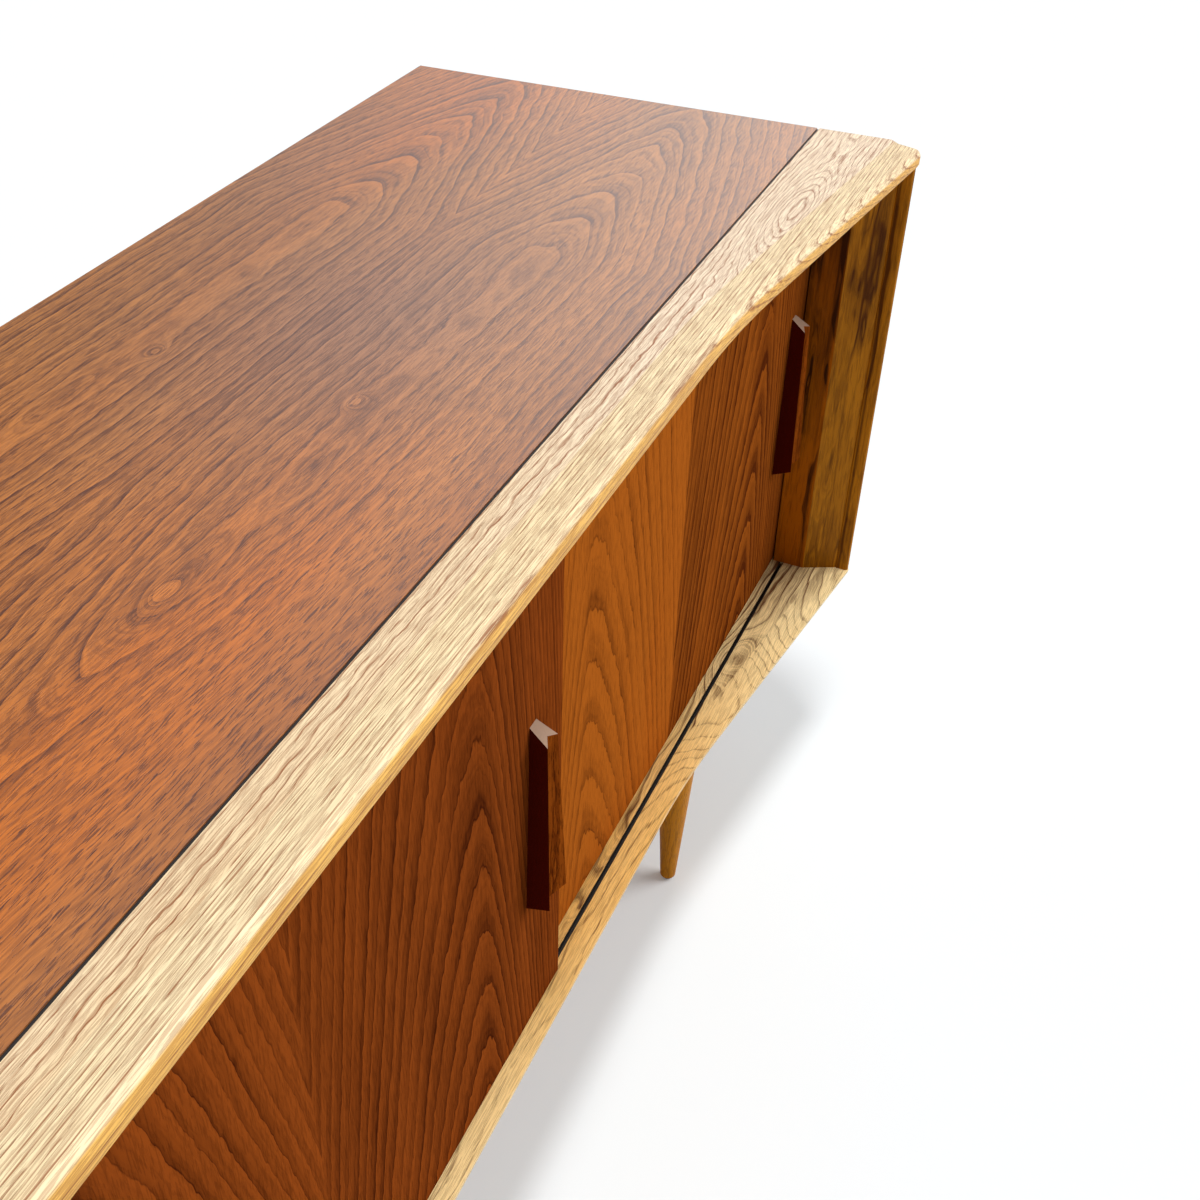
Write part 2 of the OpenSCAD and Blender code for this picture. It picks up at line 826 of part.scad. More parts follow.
module hanger_bolt(side, u) {
    color("silver")
        at_leg(side, u)
            translate([0, 0, under_z - bolt_in_leg])
                cylinder(h = bolt_in_leg + insert_len, d = bolt_d);
}

module leg_insert(side, u) {
    color("goldenrod")
        at_leg(side, u)
            translate([0, 0, under_z])
                difference() {
                    cylinder(h = insert_len, d = insert_d);
                    translate([0, 0, -cut])
                        cylinder(h = insert_len + 2 * cut, d = bolt_d + 2 * fit_gap);
                }
}

module glide(side, u) {
    color("#3a3634") at_leg(side, u) cylinder(h = glide_t, d = glide_d);
}

// ---- nodes ------------------------------------------------------------

top_panel();
top_line();
top_band();
top_nose();
side_panel(-1);  // side_panel_left
side_line(-1);  // side_line_left
side_band(-1);  // side_band_left
side_nose(-1);  // side_nose_left
side_panel(1);  // side_panel_right
side_line(1);  // side_line_right
side_band(1);  // side_band_right
side_nose(1);  // side_nose_right
bottom_panel();
bottom_line();
bottom_band();
bottom_nose();
track_liner_rear();
track_liner_front();
partition_left();
partition_right();
shelf_left();
shelf_middle();
shelf_right();
shelf_pins();
back_panel();
back_screws();
door_left();
door_middle();
door_right();
pull_left();
pull_middle_left();
pull_middle_right();
pull_right();
pull_screws_left();
pull_screws_middle();
pull_screws_right();
leg(-1, front_leg_u);  // leg_front_left
leg(1, front_leg_u);  // leg_front_right
leg(-1, rear_leg_u);  // leg_rear_left
leg(1, rear_leg_u);  // leg_rear_right
hanger_bolt(-1, front_leg_u);  // hanger_bolt_front_left
hanger_bolt(1, front_leg_u);  // hanger_bolt_front_right
hanger_bolt(-1, rear_leg_u);  // hanger_bolt_rear_left
hanger_bolt(1, rear_leg_u);  // hanger_bolt_rear_right
leg_insert(-1, front_leg_u);  // leg_insert_front_left
leg_insert(1, front_leg_u);  // leg_insert_front_right
leg_insert(-1, rear_leg_u);  // leg_insert_rear_left
leg_insert(1, rear_leg_u);  // leg_insert_rear_right
glide(-1, front_leg_u);  // glide_front_left
glide(1, front_leg_u);  // glide_front_right
glide(-1, rear_leg_u);  // glide_rear_left
glide(1, rear_leg_u);  // glide_rear_right
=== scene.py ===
"""Media cabinet of walnut and ash, with three sliding doors behind a bow-tie front frame."""

import json
import math
from dataclasses import dataclass

import bpy
from mathutils import Matrix, Vector

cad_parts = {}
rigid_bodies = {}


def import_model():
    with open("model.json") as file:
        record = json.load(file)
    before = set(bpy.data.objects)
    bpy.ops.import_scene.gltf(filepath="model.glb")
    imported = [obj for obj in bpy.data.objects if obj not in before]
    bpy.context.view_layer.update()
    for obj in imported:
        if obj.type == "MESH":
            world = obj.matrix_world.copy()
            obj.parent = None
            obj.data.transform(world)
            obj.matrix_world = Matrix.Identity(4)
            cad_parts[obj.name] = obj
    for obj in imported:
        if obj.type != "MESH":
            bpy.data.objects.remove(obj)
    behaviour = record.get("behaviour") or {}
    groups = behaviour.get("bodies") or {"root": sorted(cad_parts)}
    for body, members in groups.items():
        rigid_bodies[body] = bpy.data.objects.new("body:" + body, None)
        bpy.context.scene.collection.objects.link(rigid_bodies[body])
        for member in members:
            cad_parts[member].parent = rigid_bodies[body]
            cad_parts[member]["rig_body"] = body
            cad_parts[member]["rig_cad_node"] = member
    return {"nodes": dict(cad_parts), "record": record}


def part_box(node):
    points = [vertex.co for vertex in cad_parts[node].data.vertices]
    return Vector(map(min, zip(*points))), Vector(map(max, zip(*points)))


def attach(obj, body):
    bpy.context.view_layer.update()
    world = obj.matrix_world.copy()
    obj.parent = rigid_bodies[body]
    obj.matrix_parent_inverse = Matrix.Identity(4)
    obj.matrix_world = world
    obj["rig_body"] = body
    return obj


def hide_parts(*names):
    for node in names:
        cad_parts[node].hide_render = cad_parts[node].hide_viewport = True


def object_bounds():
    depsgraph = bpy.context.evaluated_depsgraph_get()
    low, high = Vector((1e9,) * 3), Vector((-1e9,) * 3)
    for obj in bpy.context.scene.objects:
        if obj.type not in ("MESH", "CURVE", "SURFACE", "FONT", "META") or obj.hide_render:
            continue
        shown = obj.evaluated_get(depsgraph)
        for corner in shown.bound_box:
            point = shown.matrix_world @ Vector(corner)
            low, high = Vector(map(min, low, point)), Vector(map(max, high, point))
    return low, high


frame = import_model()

bl_info = {
    "name": "Media Cabinet",
    "version": (1, 0, 0),
    "blender": (4, 5, 0),
    "location": "View3D > Sidebar > Cabinet",
    "description": "Dresses a walnut and ash media cabinet with its finishes, fittings and a studio",
    "category": "Add Mesh",
}

CAD_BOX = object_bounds()
MM = 0.001
BODY_OF = {node: body for body, nodes in frame["record"]["behaviour"]["bodies"].items() for node in nodes}


def linear(hex_code):
    """Scene-linear red, green and blue of an sRGB hex code such as #8B5A2B."""
    shares = [int(hex_code[i : i + 2], 16) / 255 for i in (1, 3, 5)]
    return [s / 12.92 if s <= 0.04045 else ((s + 0.055) / 1.055) ** 2.4 for s in shares]


def colour(label, hex_code, about):
    """A colour property that a user may change."""
    return bpy.props.FloatVectorProperty(
        name=label, description=about, subtype="COLOR", size=3, min=0, max=1, default=linear(hex_code)
    )


def length(label, metres, about):
    """A length property that a user may change."""
    return bpy.props.FloatProperty(
        name=label, description=about, subtype="DISTANCE", unit="LENGTH", min=0, precision=5, default=metres
    )


# ---------------------------------------------------------------------------------------------
# Sizes and colours


class CABINET_PG_colours(bpy.types.PropertyGroup):
    """Colours of the woods, metals and plastics."""

    top_pale: colour("Top, pale wood", "#B87638", "Early wood of the top's walnut veneer")
    top_warm: colour("Top, warm wood", "#C96E1C", "Orange patches of the top's walnut veneer")
    top_dark: colour("Top, dark wood", "#4C200E", "Late wood of the top's walnut veneer")
    # Painted reflection: grey brown patches on the top that stand in for the sheen of its lacquer, laid into
    # its colour.
    top_painted_sheen: colour("Top, cool wood", "#8E6450", "Grey brown patches of the top's walnut veneer")
    top_pore: colour("Top, pores", "#4E2210", "Pores of the top's walnut veneer")
    door_pale: colour("Doors, pale wood", "#A85A1A", "Early wood of the door veneer")
    door_warm: colour("Doors, warm wood", "#AE5210", "Orange patches of the door veneer")
    door_dark: colour("Doors, dark wood", "#50220A", "Late wood of the door veneer")
    door_pore: colour("Doors, pores", "#3A1506", "Pores of the door veneer")
    # The middle door's colours are a darker, redder copy of the doors' colours: partly a veneer of its own,
    # partly painted shade.
    front_pale: colour("Middle door, pale wood", "#8C4416", "Early wood of the middle door's veneer")
    front_warm: colour("Middle door, warm wood", "#964410", "Orange patches of the middle door's veneer")
    front_dark: colour("Middle door, dark wood", "#421A08", "Late wood of the middle door's veneer")
    front_pore: colour("Middle door, pores", "#2E0E04", "Pores of the middle door's veneer")
    ash_pale: colour("Ash, pale wood", "#F9E5C8", "Body of the ash bands")
    ash_warm: colour("Ash, warm wood", "#EED09E", "Yellow patches of the ash bands")
    ash_line: colour("Ash, growth lines", "#8A4C1E", "Growth lines of the ash bands")
    nose_pale: colour("Nose boards, pale wood", "#F9E4B8", "Body of the front edge boards")
    nose_warm: colour("Nose boards, warm wood", "#E8C080", "Yellow patches of the front edge boards")
    nose_line: colour("Nose boards, growth lines", "#8A4C1E", "Growth lines of the front edge boards")
    # Painted light: the yellower tint on the rounded front edge stands in for warm light bounced onto it.
    nose_painted_edge_light: colour("Nose boards, edge", "#EAB65C", "Oiled, yellower edge of the front edge boards")
    floor_pale: colour("Lower band, pale wood", "#F6DCA2", "Body of the lower ash boards")
    floor_warm: colour("Lower band, warm wood", "#E6B25C", "Yellow patches of the lower ash boards")
    floor_line: colour("Lower band, growth lines", "#5A3410", "Bold growth lines of the lower ash boards")
    # The side bands' colours are the dark golden brown that their inner faces show in shade; every face of
    # the bands is given them.
    side_brown_pale: colour("Brown ash, pale wood", "#B06006", "Pale streaks of the brown ash")
    side_brown_warm: colour("Brown ash, warm wood", "#A65404", "Warm streaks of the brown ash")
    side_brown_dark: colour("Brown ash, dark wood", "#3C1A02", "Dark streaks of the brown ash")
    side_brown_pore: colour("Brown ash, pores", "#281002", "Pores of the brown ash")
    # The side noses' colours are those that their inner faces show in shade; every face of the noses is
    # given them, and the legs use them too.
    golden_pale: colour("Side noses, pale wood", "#BC7A14", "Pale streaks of the side noses")
    golden_warm: colour("Side noses, warm wood", "#AA640C", "Warm streaks of the side noses")
    golden_dark: colour("Side noses, dark wood", "#5A3006", "Dark streaks of the side noses")
    golden_pore: colour("Side noses, pores", "#3A1C04", "Pores of the side noses")
    pull_pale: colour("Pulls, pale wood", "#8A4410", "Pale wood of the pulls")
    pull_warm: colour("Pulls, warm wood", "#8E400A", "Warm wood of the pulls")
    pull_dark: colour("Pulls, dark wood", "#461604", "Dark wood of the pulls")
    pull_pore: colour("Pulls, pores", "#240802", "Pores of the pulls")
    # The ends are paler partly as end grain and partly as painted light on the faces turned up and down.
    pull_end_grain_and_painted_light: colour("Pulls, end grain", "#A88C78", "Sanded end grain of the pulls")
    # Painted shade: the flanks of the pulls are darkened, as a side turned away from the light falls dark.
    pull_flank_painted_shade: colour("Pulls, flanks", "#481006", "Dark heartwood on the flanks of the pulls")
    inside_pale: colour("Inside, pale wood", "#9A6A48", "Early wood of the inner boards and the back")
    inside_warm: colour("Inside, warm wood", "#9C6438", "Warm wood of the inner boards and the back")
    inside_dark: colour("Inside, dark wood", "#5E3A28", "Late wood of the inner boards and the back")
    inside_pore: colour("Inside, pores", "#40241A", "Pores of the inner boards and the back")
    inlay: colour("Inlay", "#120C0A", "Dyed black inlay line")
    track: colour("Track", "#17120F", "Track liners")


class CABINET_PG_sizes(bpy.types.PropertyGroup):
    """Sizes of the grain and of the hand-eased edges.

    Real pores are 0.1 to 0.3 mm wide and up to 10 mm long. They are drawn coarser, so that they show.
    """

    edge: length("Board edges", 0.4 * MM, "How far the edges of a board are eased")
    door_edge: length("Door edges", 0.6 * MM, "How far the edges of a door are eased")
    pull_edge: length("Pull edges", 0.9 * MM, "How far the edges of a pull are rounded")
    walnut_pore: length("Walnut pore", 18 * MM, "Length of the pore pattern along the walnut veneer")
    ash_pore: length("Ash pore", 26 * MM, "Length of the pore pattern along the ash")


class CABINET_PG_studio(bpy.types.PropertyGroup):
    """Camera, lamps and floor."""

    camera_place: bpy.props.FloatVectorProperty(
        name="Camera", description="Place of the camera", subtype="TRANSLATION", unit="LENGTH",
        default=(-0.307, -0.431, 1.0635),
    )
    heading: bpy.props.FloatProperty(
        name="Heading", description="Turn of the camera from +Y towards +X", subtype="ANGLE",
        default=math.radians(64.21),
    )
    tilt: bpy.props.FloatProperty(
        name="Tilt", description="How far the camera looks down", subtype="ANGLE",
        default=math.radians(39.14),
    )
    roll: bpy.props.FloatProperty(
        name="Roll", description="Turn of the picture", subtype="ANGLE", default=math.radians(-0.34),
    )
    lens: bpy.props.FloatProperty(
        name="Lens", description="Focal length in mm on a 36 mm sensor", default=43.5,
    )
    shift: bpy.props.FloatVectorProperty(
        name="Shift", description="Sideways and upward shift of the lens", size=2, default=(0.0633, 0.0242),
    )
    key: bpy.props.FloatProperty(
        name="Key light", description="Strength of the light overhead", default=1.5,
    )
    fill: bpy.props.FloatProperty(
        name="Fill light", description="Strength of the light from the front", default=1.9,
    )
    sky: bpy.props.FloatProperty(
        name="Sky", description="Strength of the light from all round", default=0.36,
    )


def group(name):
    """One of the scene's property groups."""
    return getattr(bpy.context.scene, "cabinet_" + name)


def tint(key):
    """One of the colours that a user may change, with its alpha."""
    return (*getattr(group("colours"), key), 1)


# ---------------------------------------------------------------------------------------------
# Materials


def node(tree, kind, inputs=None, **settings):
    """Adds a shader node; an input is given as a value or as another node's output socket."""
    made = tree.nodes.new(kind)
    for name, value in settings.items():
        setattr(made, name, value)
    for key, value in (inputs or {}).items():
        if isinstance(value, bpy.types.NodeSocket):
            tree.links.new(value, made.inputs[key])
        else:
            made.inputs[key].default_value = value
    return made


def new_material(name):
    """An empty material with its Principled shader, as (material, tree, shader)."""
    material = bpy.data.materials.new(name)
    material.use_nodes = True
    tree = material.node_tree
    shader = next(n for n in tree.nodes if n.type == "BSDF_PRINCIPLED")
    return material, tree, shader


@dataclass
class Spot:
    """A place on a board that fades out round its centre, with its half size and its strength."""

    along: float
    across: float
    half_length: float
    half_width: float
    strength: float


@dataclass
class Cut:
    """How a board or a veneer leaf was cut from the log, in metres and growth rings.

    The rings are counted outwards from the heart of the figure, as wide as a flat-sliced face shows
    them. They are wider towards the join by lean and crowd outwards by steepen. They rise ahead of
    rise_from and behind fall_from, which draws the arches, and they run round each knot. A
    bookmatched board mirrors at its join.
    """

    along: str = "X"
    across: str = "Y"
    through: str = "Z"
    surface: float = 0.0
    join: float = None
    heart: float = 0.0
    lean: float = 1.0
    pith: float = 0.025
    ring: float = 0.010
    steepen: float = 1.0
    start: float = 0.5
    rise: float = 0.048
    rise_from: float = 100.0
    fall: float = 0.1
    fall_from: float = -100.0
    knots: tuple = ()
    sway: float = 0.35
    sway_size: tuple = (0.15, 0.035)
    ripple: float = 0.15
    ripple_size: tuple = (0.035, 0.02)
    uneven: float = 0.7


@dataclass
class Look:
    """What a wood shows: its colours, the size of its marks, and how strongly each one darkens it.

    A depth above 0 darkens the whole board, and one below 0 makes it paler.
    """

    pale: tuple
    dark: tuple
    pore: tuple
    warm: tuple
    ring_marks: tuple
    ring_share: float = 0.8
    streak_share: float = 0.45
    streak_width: float = 0.35
    streak_length: float = 0.07
    fibre_share: float = 0.3
    fibre_size: tuple = (0.03, 0.0016)
    tone_share: float = 0.25
    leaf_share: float = 0.0
    depth: float = 0.0
    warm_spots: tuple = ()
    dark_spots: tuple = ()
    plain_spots: tuple = ()
    # cool and the spots after it are a painted reflection: a grey brown laid over the board where its sheen
    # would show.
    cool: tuple = None
    cool_spots: tuple = ()
    pore_size: tuple = (0.020, 0.0020)
    pore_floor: float = 0.57
    pore_share: float = 0.6
    ring_porous: float = 0.4
    pore_depth: float = 0.08 * MM
    roughness: float = 0.4
    specular: float = 0.5
    coat: float = 0.0
    # Painted light: edge is a tint laid on a rounded edge, fading in between the two depths of edge_fade
    # below the surface.
    edge: tuple = None
    edge_fade: tuple = (0.0, 0.0)


# Darkness across one growth ring, as (share of the ring, darkness).
WALNUT_RING = (
    (0.0, 1.0), (0.05, 0.75), (0.2, 0.4), (0.43, 0.15), (0.47, 0.55), (0.53, 0.35), (0.75, 0.1),
    (0.97, 0.0), (1.0, 0.5),
)
DOOR_RING = ((0.0, 1.0), (0.05, 0.65), (0.35, 0.4), (0.97, 0.0), (1.0, 0.6))
ASH_RING = ((0.0, 0.9), (0.07, 1.0), (0.18, 0.35), (0.35, 0.05), (0.93, 0.0), (1.0, 0.6))

# Each pattern is cut from its own place in the noise, so that no two of them agree.
SEEDS = {
    "pores": 0.0, "sway": 1.0, "ripple": 5.0, "tone": 13.0, "small pores": 17.3, "fading": 21.0,
    "warmth": 31.0, "fibre": 41.0,
}
LEAF_DRIFT = 0.12  # how far the noise moves from one bookmatched leaf to the other
SPOT_FADE = math.exp(-1)  # what is left of a spot at its half size
YEAR_SCALE = 0.8  # how fast the spacing of the rings changes from ring to ring

# (length, width) in metres of the slow changes over a board.
FADING_SIZE = (0.10, 0.03)
TONE_SIZE = (0.30, 0.06)
WARMTH_SIZE = (0.4, 0.08)

RING_MEAN = 0.5  # darkness of a ring, before its luck and its fading
RING_LUCK = 0.55
RING_FADING = 0.35
RING_RELIEF = 0.15  # depth of a ring's dark part, as a share of a pore's
PLAIN_RINGS = 0.8  # share of the rings that a plain spot takes away
PLAIN_PORES = 0.5  # share of the spread of the pores that a plain spot evens out
WARMTH_SHARE = 0.6
STREAK_RANGE = (0.42, 0.66)  # noise at which a streak starts, and at which it is full

PORE_FADE = 0.04  # how softly a pore's dash ends, in noise
PORE_BEND = 0.8  # how far the dashes move with each ring
SMALL_PORE = 0.6  # size of the small pores, as a share of the others
SMALL_PORE_RARER = 0.02

COAT_ROUGHNESS = 0.2
COAT_IOR = 1.38


def board_axes(tree, cut):
    """(point with its grain along X, the same folded at a bookmatched board's join, leaf side)."""
    place = node(tree, "ShaderNodeTexCoord").outputs["Object"]
    axes = node(tree, "ShaderNodeSeparateXYZ", {0: place}).outputs
    across = axes[cut.across]
    below = node(
        tree, "ShaderNodeMath", {0: axes[cut.through], 1: cut.surface}, operation="SUBTRACT"
    ).outputs[0]
    board = node(tree, "ShaderNodeCombineXYZ", {0: axes[cut.along], 1: across, 2: below}).outputs[0]
    leaf = 0.0
    if cut.join is not None:
        offset = node(tree, "ShaderNodeMath", {0: across, 1: cut.join}, operation="SUBTRACT").outputs[0]
        leaf = node(tree, "ShaderNodeMath", {0: offset}, operation="SIGN").outputs[0]
        across = node(tree, "ShaderNodeMath", {0: offset}, operation="ABSOLUTE").outputs[0]
    grain = node(tree, "ShaderNodeCombineXYZ", {0: axes[cut.along], 1: across, 2: below}).outputs[0]
    return board, grain, leaf


def waves(tree, grain, size, seed, leaf=0.0, detail=2.0):
    """Slow noise from -1 to 1, of the given (length, width) along and across the grain."""
    scale = (1 / size[0], 1 / size[1], 1 / size[1])
    where = node(tree, "ShaderNodeVectorMath", {0: grain, 1: scale}, operation="MULTIPLY").outputs[0]
    drift = node(
        tree, "ShaderNodeMath", {0: leaf, 1: LEAF_DRIFT, 2: seed}, operation="MULTIPLY_ADD"
    ).outputs[0]
    noise = node(
        tree, "ShaderNodeTexNoise", {"Vector": where, "W": drift, "Scale": 1.0, "Detail": detail},
        noise_dimensions="4D",
    ).outputs["Fac"]
    return node(tree, "ShaderNodeMath", {0: noise, 1: 2.0, 2: -1.0}, operation="MULTIPLY_ADD").outputs[0]


def spot(tree, grain, place):
    """A spot's strength at its centre, fading to nothing round it."""
    centre = (place.along, place.across, 0.0)
    offset = node(tree, "ShaderNodeVectorMath", {0: grain, 1: centre}, operation="SUBTRACT").outputs[0]
    shares = (1 / place.half_length, 1 / place.half_width, 0.0)
    shared = node(tree, "ShaderNodeVectorMath", {0: offset, 1: shares}, operation="MULTIPLY").outputs[0]
    square = node(
        tree, "ShaderNodeVectorMath", {0: shared, 1: shared}, operation="DOT_PRODUCT"
    ).outputs["Value"]
    fading = node(tree, "ShaderNodeMath", {0: SPOT_FADE, 1: square}, operation="POWER").outputs[0]
    return node(tree, "ShaderNodeMath", {0: fading, 1: place.strength}, operation="MULTIPLY").outputs[0]


def spots(tree, grain, places):
    """The strength of each of several spots, as (socket, weight) pairs."""
    return [(spot(tree, grain, place), 1.0) for place in places]


def weighed(tree, *terms):
    """The sum of (socket, weight) pairs."""
    total = 0.0
    for socket, weight in terms:
        total = node(
            tree, "ShaderNodeMath", {0: socket, 1: weight, 2: total}, operation="MULTIPLY_ADD"
        ).outputs[0]
    return total


def layered(tree, ground, *layers):
    """The ground colour with (share, colour) layers laid over it in turn."""
    for share, shade in layers:
        ground = node(
            tree, "ShaderNodeMix", {0: share, 6: ground, 7: shade}, data_type="RGBA", clamp_factor=True
        ).outputs[2]
    return ground


def growth(tree, cut, grain, leaf):
    """Growth rings counted from the heart of the figure; their whole numbers are its lines."""
    axes = node(tree, "ShaderNodeSeparateXYZ", {0: grain}).outputs
    aside = node(tree, "ShaderNodeMath", {0: axes[1], 1: cut.heart}, operation="SUBTRACT").outputs[0]
    inward = node(tree, "ShaderNodeMath", {0: aside, 1: -cut.lean}, operation="MULTIPLY").outputs[0]
    aside = node(tree, "ShaderNodeMath", {0: aside, 1: inward}, operation="MAXIMUM").outputs[0]
    below = node(tree, "ShaderNodeMath", {0: cut.pith, 1: axes[2]}, operation="SUBTRACT").outputs[0]
    spoke = node(tree, "ShaderNodeCombineXYZ", {0: 0.0, 1: aside, 2: below}).outputs[0]
    radius = node(tree, "ShaderNodeVectorMath", {0: spoke}, operation="LENGTH").outputs["Value"]
    outward = node(tree, "ShaderNodeMath", {0: radius, 1: cut.ring}, operation="DIVIDE").outputs[0]
    outward = node(tree, "ShaderNodeMath", {0: outward, 1: cut.steepen}, operation="POWER").outputs[0]
    ahead = node(tree, "ShaderNodeMath", {0: axes[0], 1: cut.rise_from}, operation="SUBTRACT").outputs[0]
    behind = node(tree, "ShaderNodeMath", {0: cut.fall_from, 1: axes[0]}, operation="SUBTRACT").outputs[0]
    soft = 0.5 * cut.rise
    ahead = node(tree, "ShaderNodeMath", {0: ahead, 1: 0.0, 2: soft}, operation="SMOOTH_MAX").outputs[0]
    behind = node(tree, "ShaderNodeMath", {0: behind, 1: 0.0, 2: soft}, operation="SMOOTH_MAX").outputs[0]
    rings = weighed(
        tree, (outward, 1.0), (ahead, 1 / cut.rise), (behind, 1 / cut.fall),
        (waves(tree, grain, cut.sway_size, SEEDS["sway"], leaf), cut.sway),
        (waves(tree, grain, cut.ripple_size, SEEDS["ripple"], leaf), cut.ripple),
        *spots(tree, grain, cut.knots),
    )
    first = cut.start - (cut.pith / cut.ring) ** cut.steepen
    rings = node(tree, "ShaderNodeMath", {0: rings, 1: first}, operation="ADD").outputs[0]
    years = node(
        tree, "ShaderNodeTexNoise", {"W": rings, "Scale": YEAR_SCALE, "Detail": 1.0}, noise_dimensions="1D"
    )
    return weighed(tree, (rings, 1.0), (years.outputs["Fac"], cut.uneven))


def ring_profile(tree, phase, marks):
    """Darkness along the way through one growth ring, from its (share of the ring, darkness) marks."""
    made = node(tree, "ShaderNodeValToRGB", {0: phase})
    elements = made.color_ramp.elements
    while len(elements) < len(marks):
        elements.new(0.5)
    for element, (place, darkness) in zip(elements, marks):
        element.position = place
        element.color = (darkness, darkness, darkness, 1)
    return made.outputs["Color"]


def streaks(tree, grain, rings, look):
    """Long streaks that follow the rings."""
    along = node(tree, "ShaderNodeSeparateXYZ", {0: grain}).outputs[0]
    far = node(tree, "ShaderNodeMath", {0: along, 1: look.streak_length}, operation="DIVIDE").outputs[0]
    aside = node(tree, "ShaderNodeMath", {0: rings, 1: look.streak_width}, operation="DIVIDE").outputs[0]
    course = node(tree, "ShaderNodeCombineXYZ", {0: far, 1: aside}).outputs[0]
    noise = node(
        tree, "ShaderNodeTexNoise", {"Vector": course, "Scale": 1.0, "Detail": 4.0, "Roughness": 0.62}
    ).outputs["Fac"]
    start, full = STREAK_RANGE
    return node(
        tree, "ShaderNodeMapRange", {"Value": noise, "From Min": start, "From Max": full}
    ).outputs["Result"]


def pores(tree, grain, rings, size, floor, seed):
    """1 inside a pore's dash, which runs along the grain and bends with the rings.

    A dash is about half as large as the (length, width) given.
    """
    scale = (1 / size[0], 1 / size[1], 1 / size[1])
    bent = node(tree, "ShaderNodeMath", {0: rings, 1: PORE_BEND}, operation="MULTIPLY").outputs[0]
    bent = node(tree, "ShaderNodeCombineXYZ", {1: bent}).outputs[0]
    where = node(
        tree, "ShaderNodeVectorMath", {0: grain, 1: scale, 2: bent}, operation="MULTIPLY_ADD"
    ).outputs[0]
    noise = node(
        tree, "ShaderNodeTexNoise", {"Vector": where, "W": seed, "Scale": 1.0, "Detail": 1.5},
        noise_dimensions="4D",
    ).outputs["Fac"]
    return node(
        tree, "ShaderNodeMapRange", {"Value": noise, "From Min": floor, "From Max": floor + PORE_FADE},
        interpolation_type="SMOOTHSTEP",
    ).outputs["Result"]


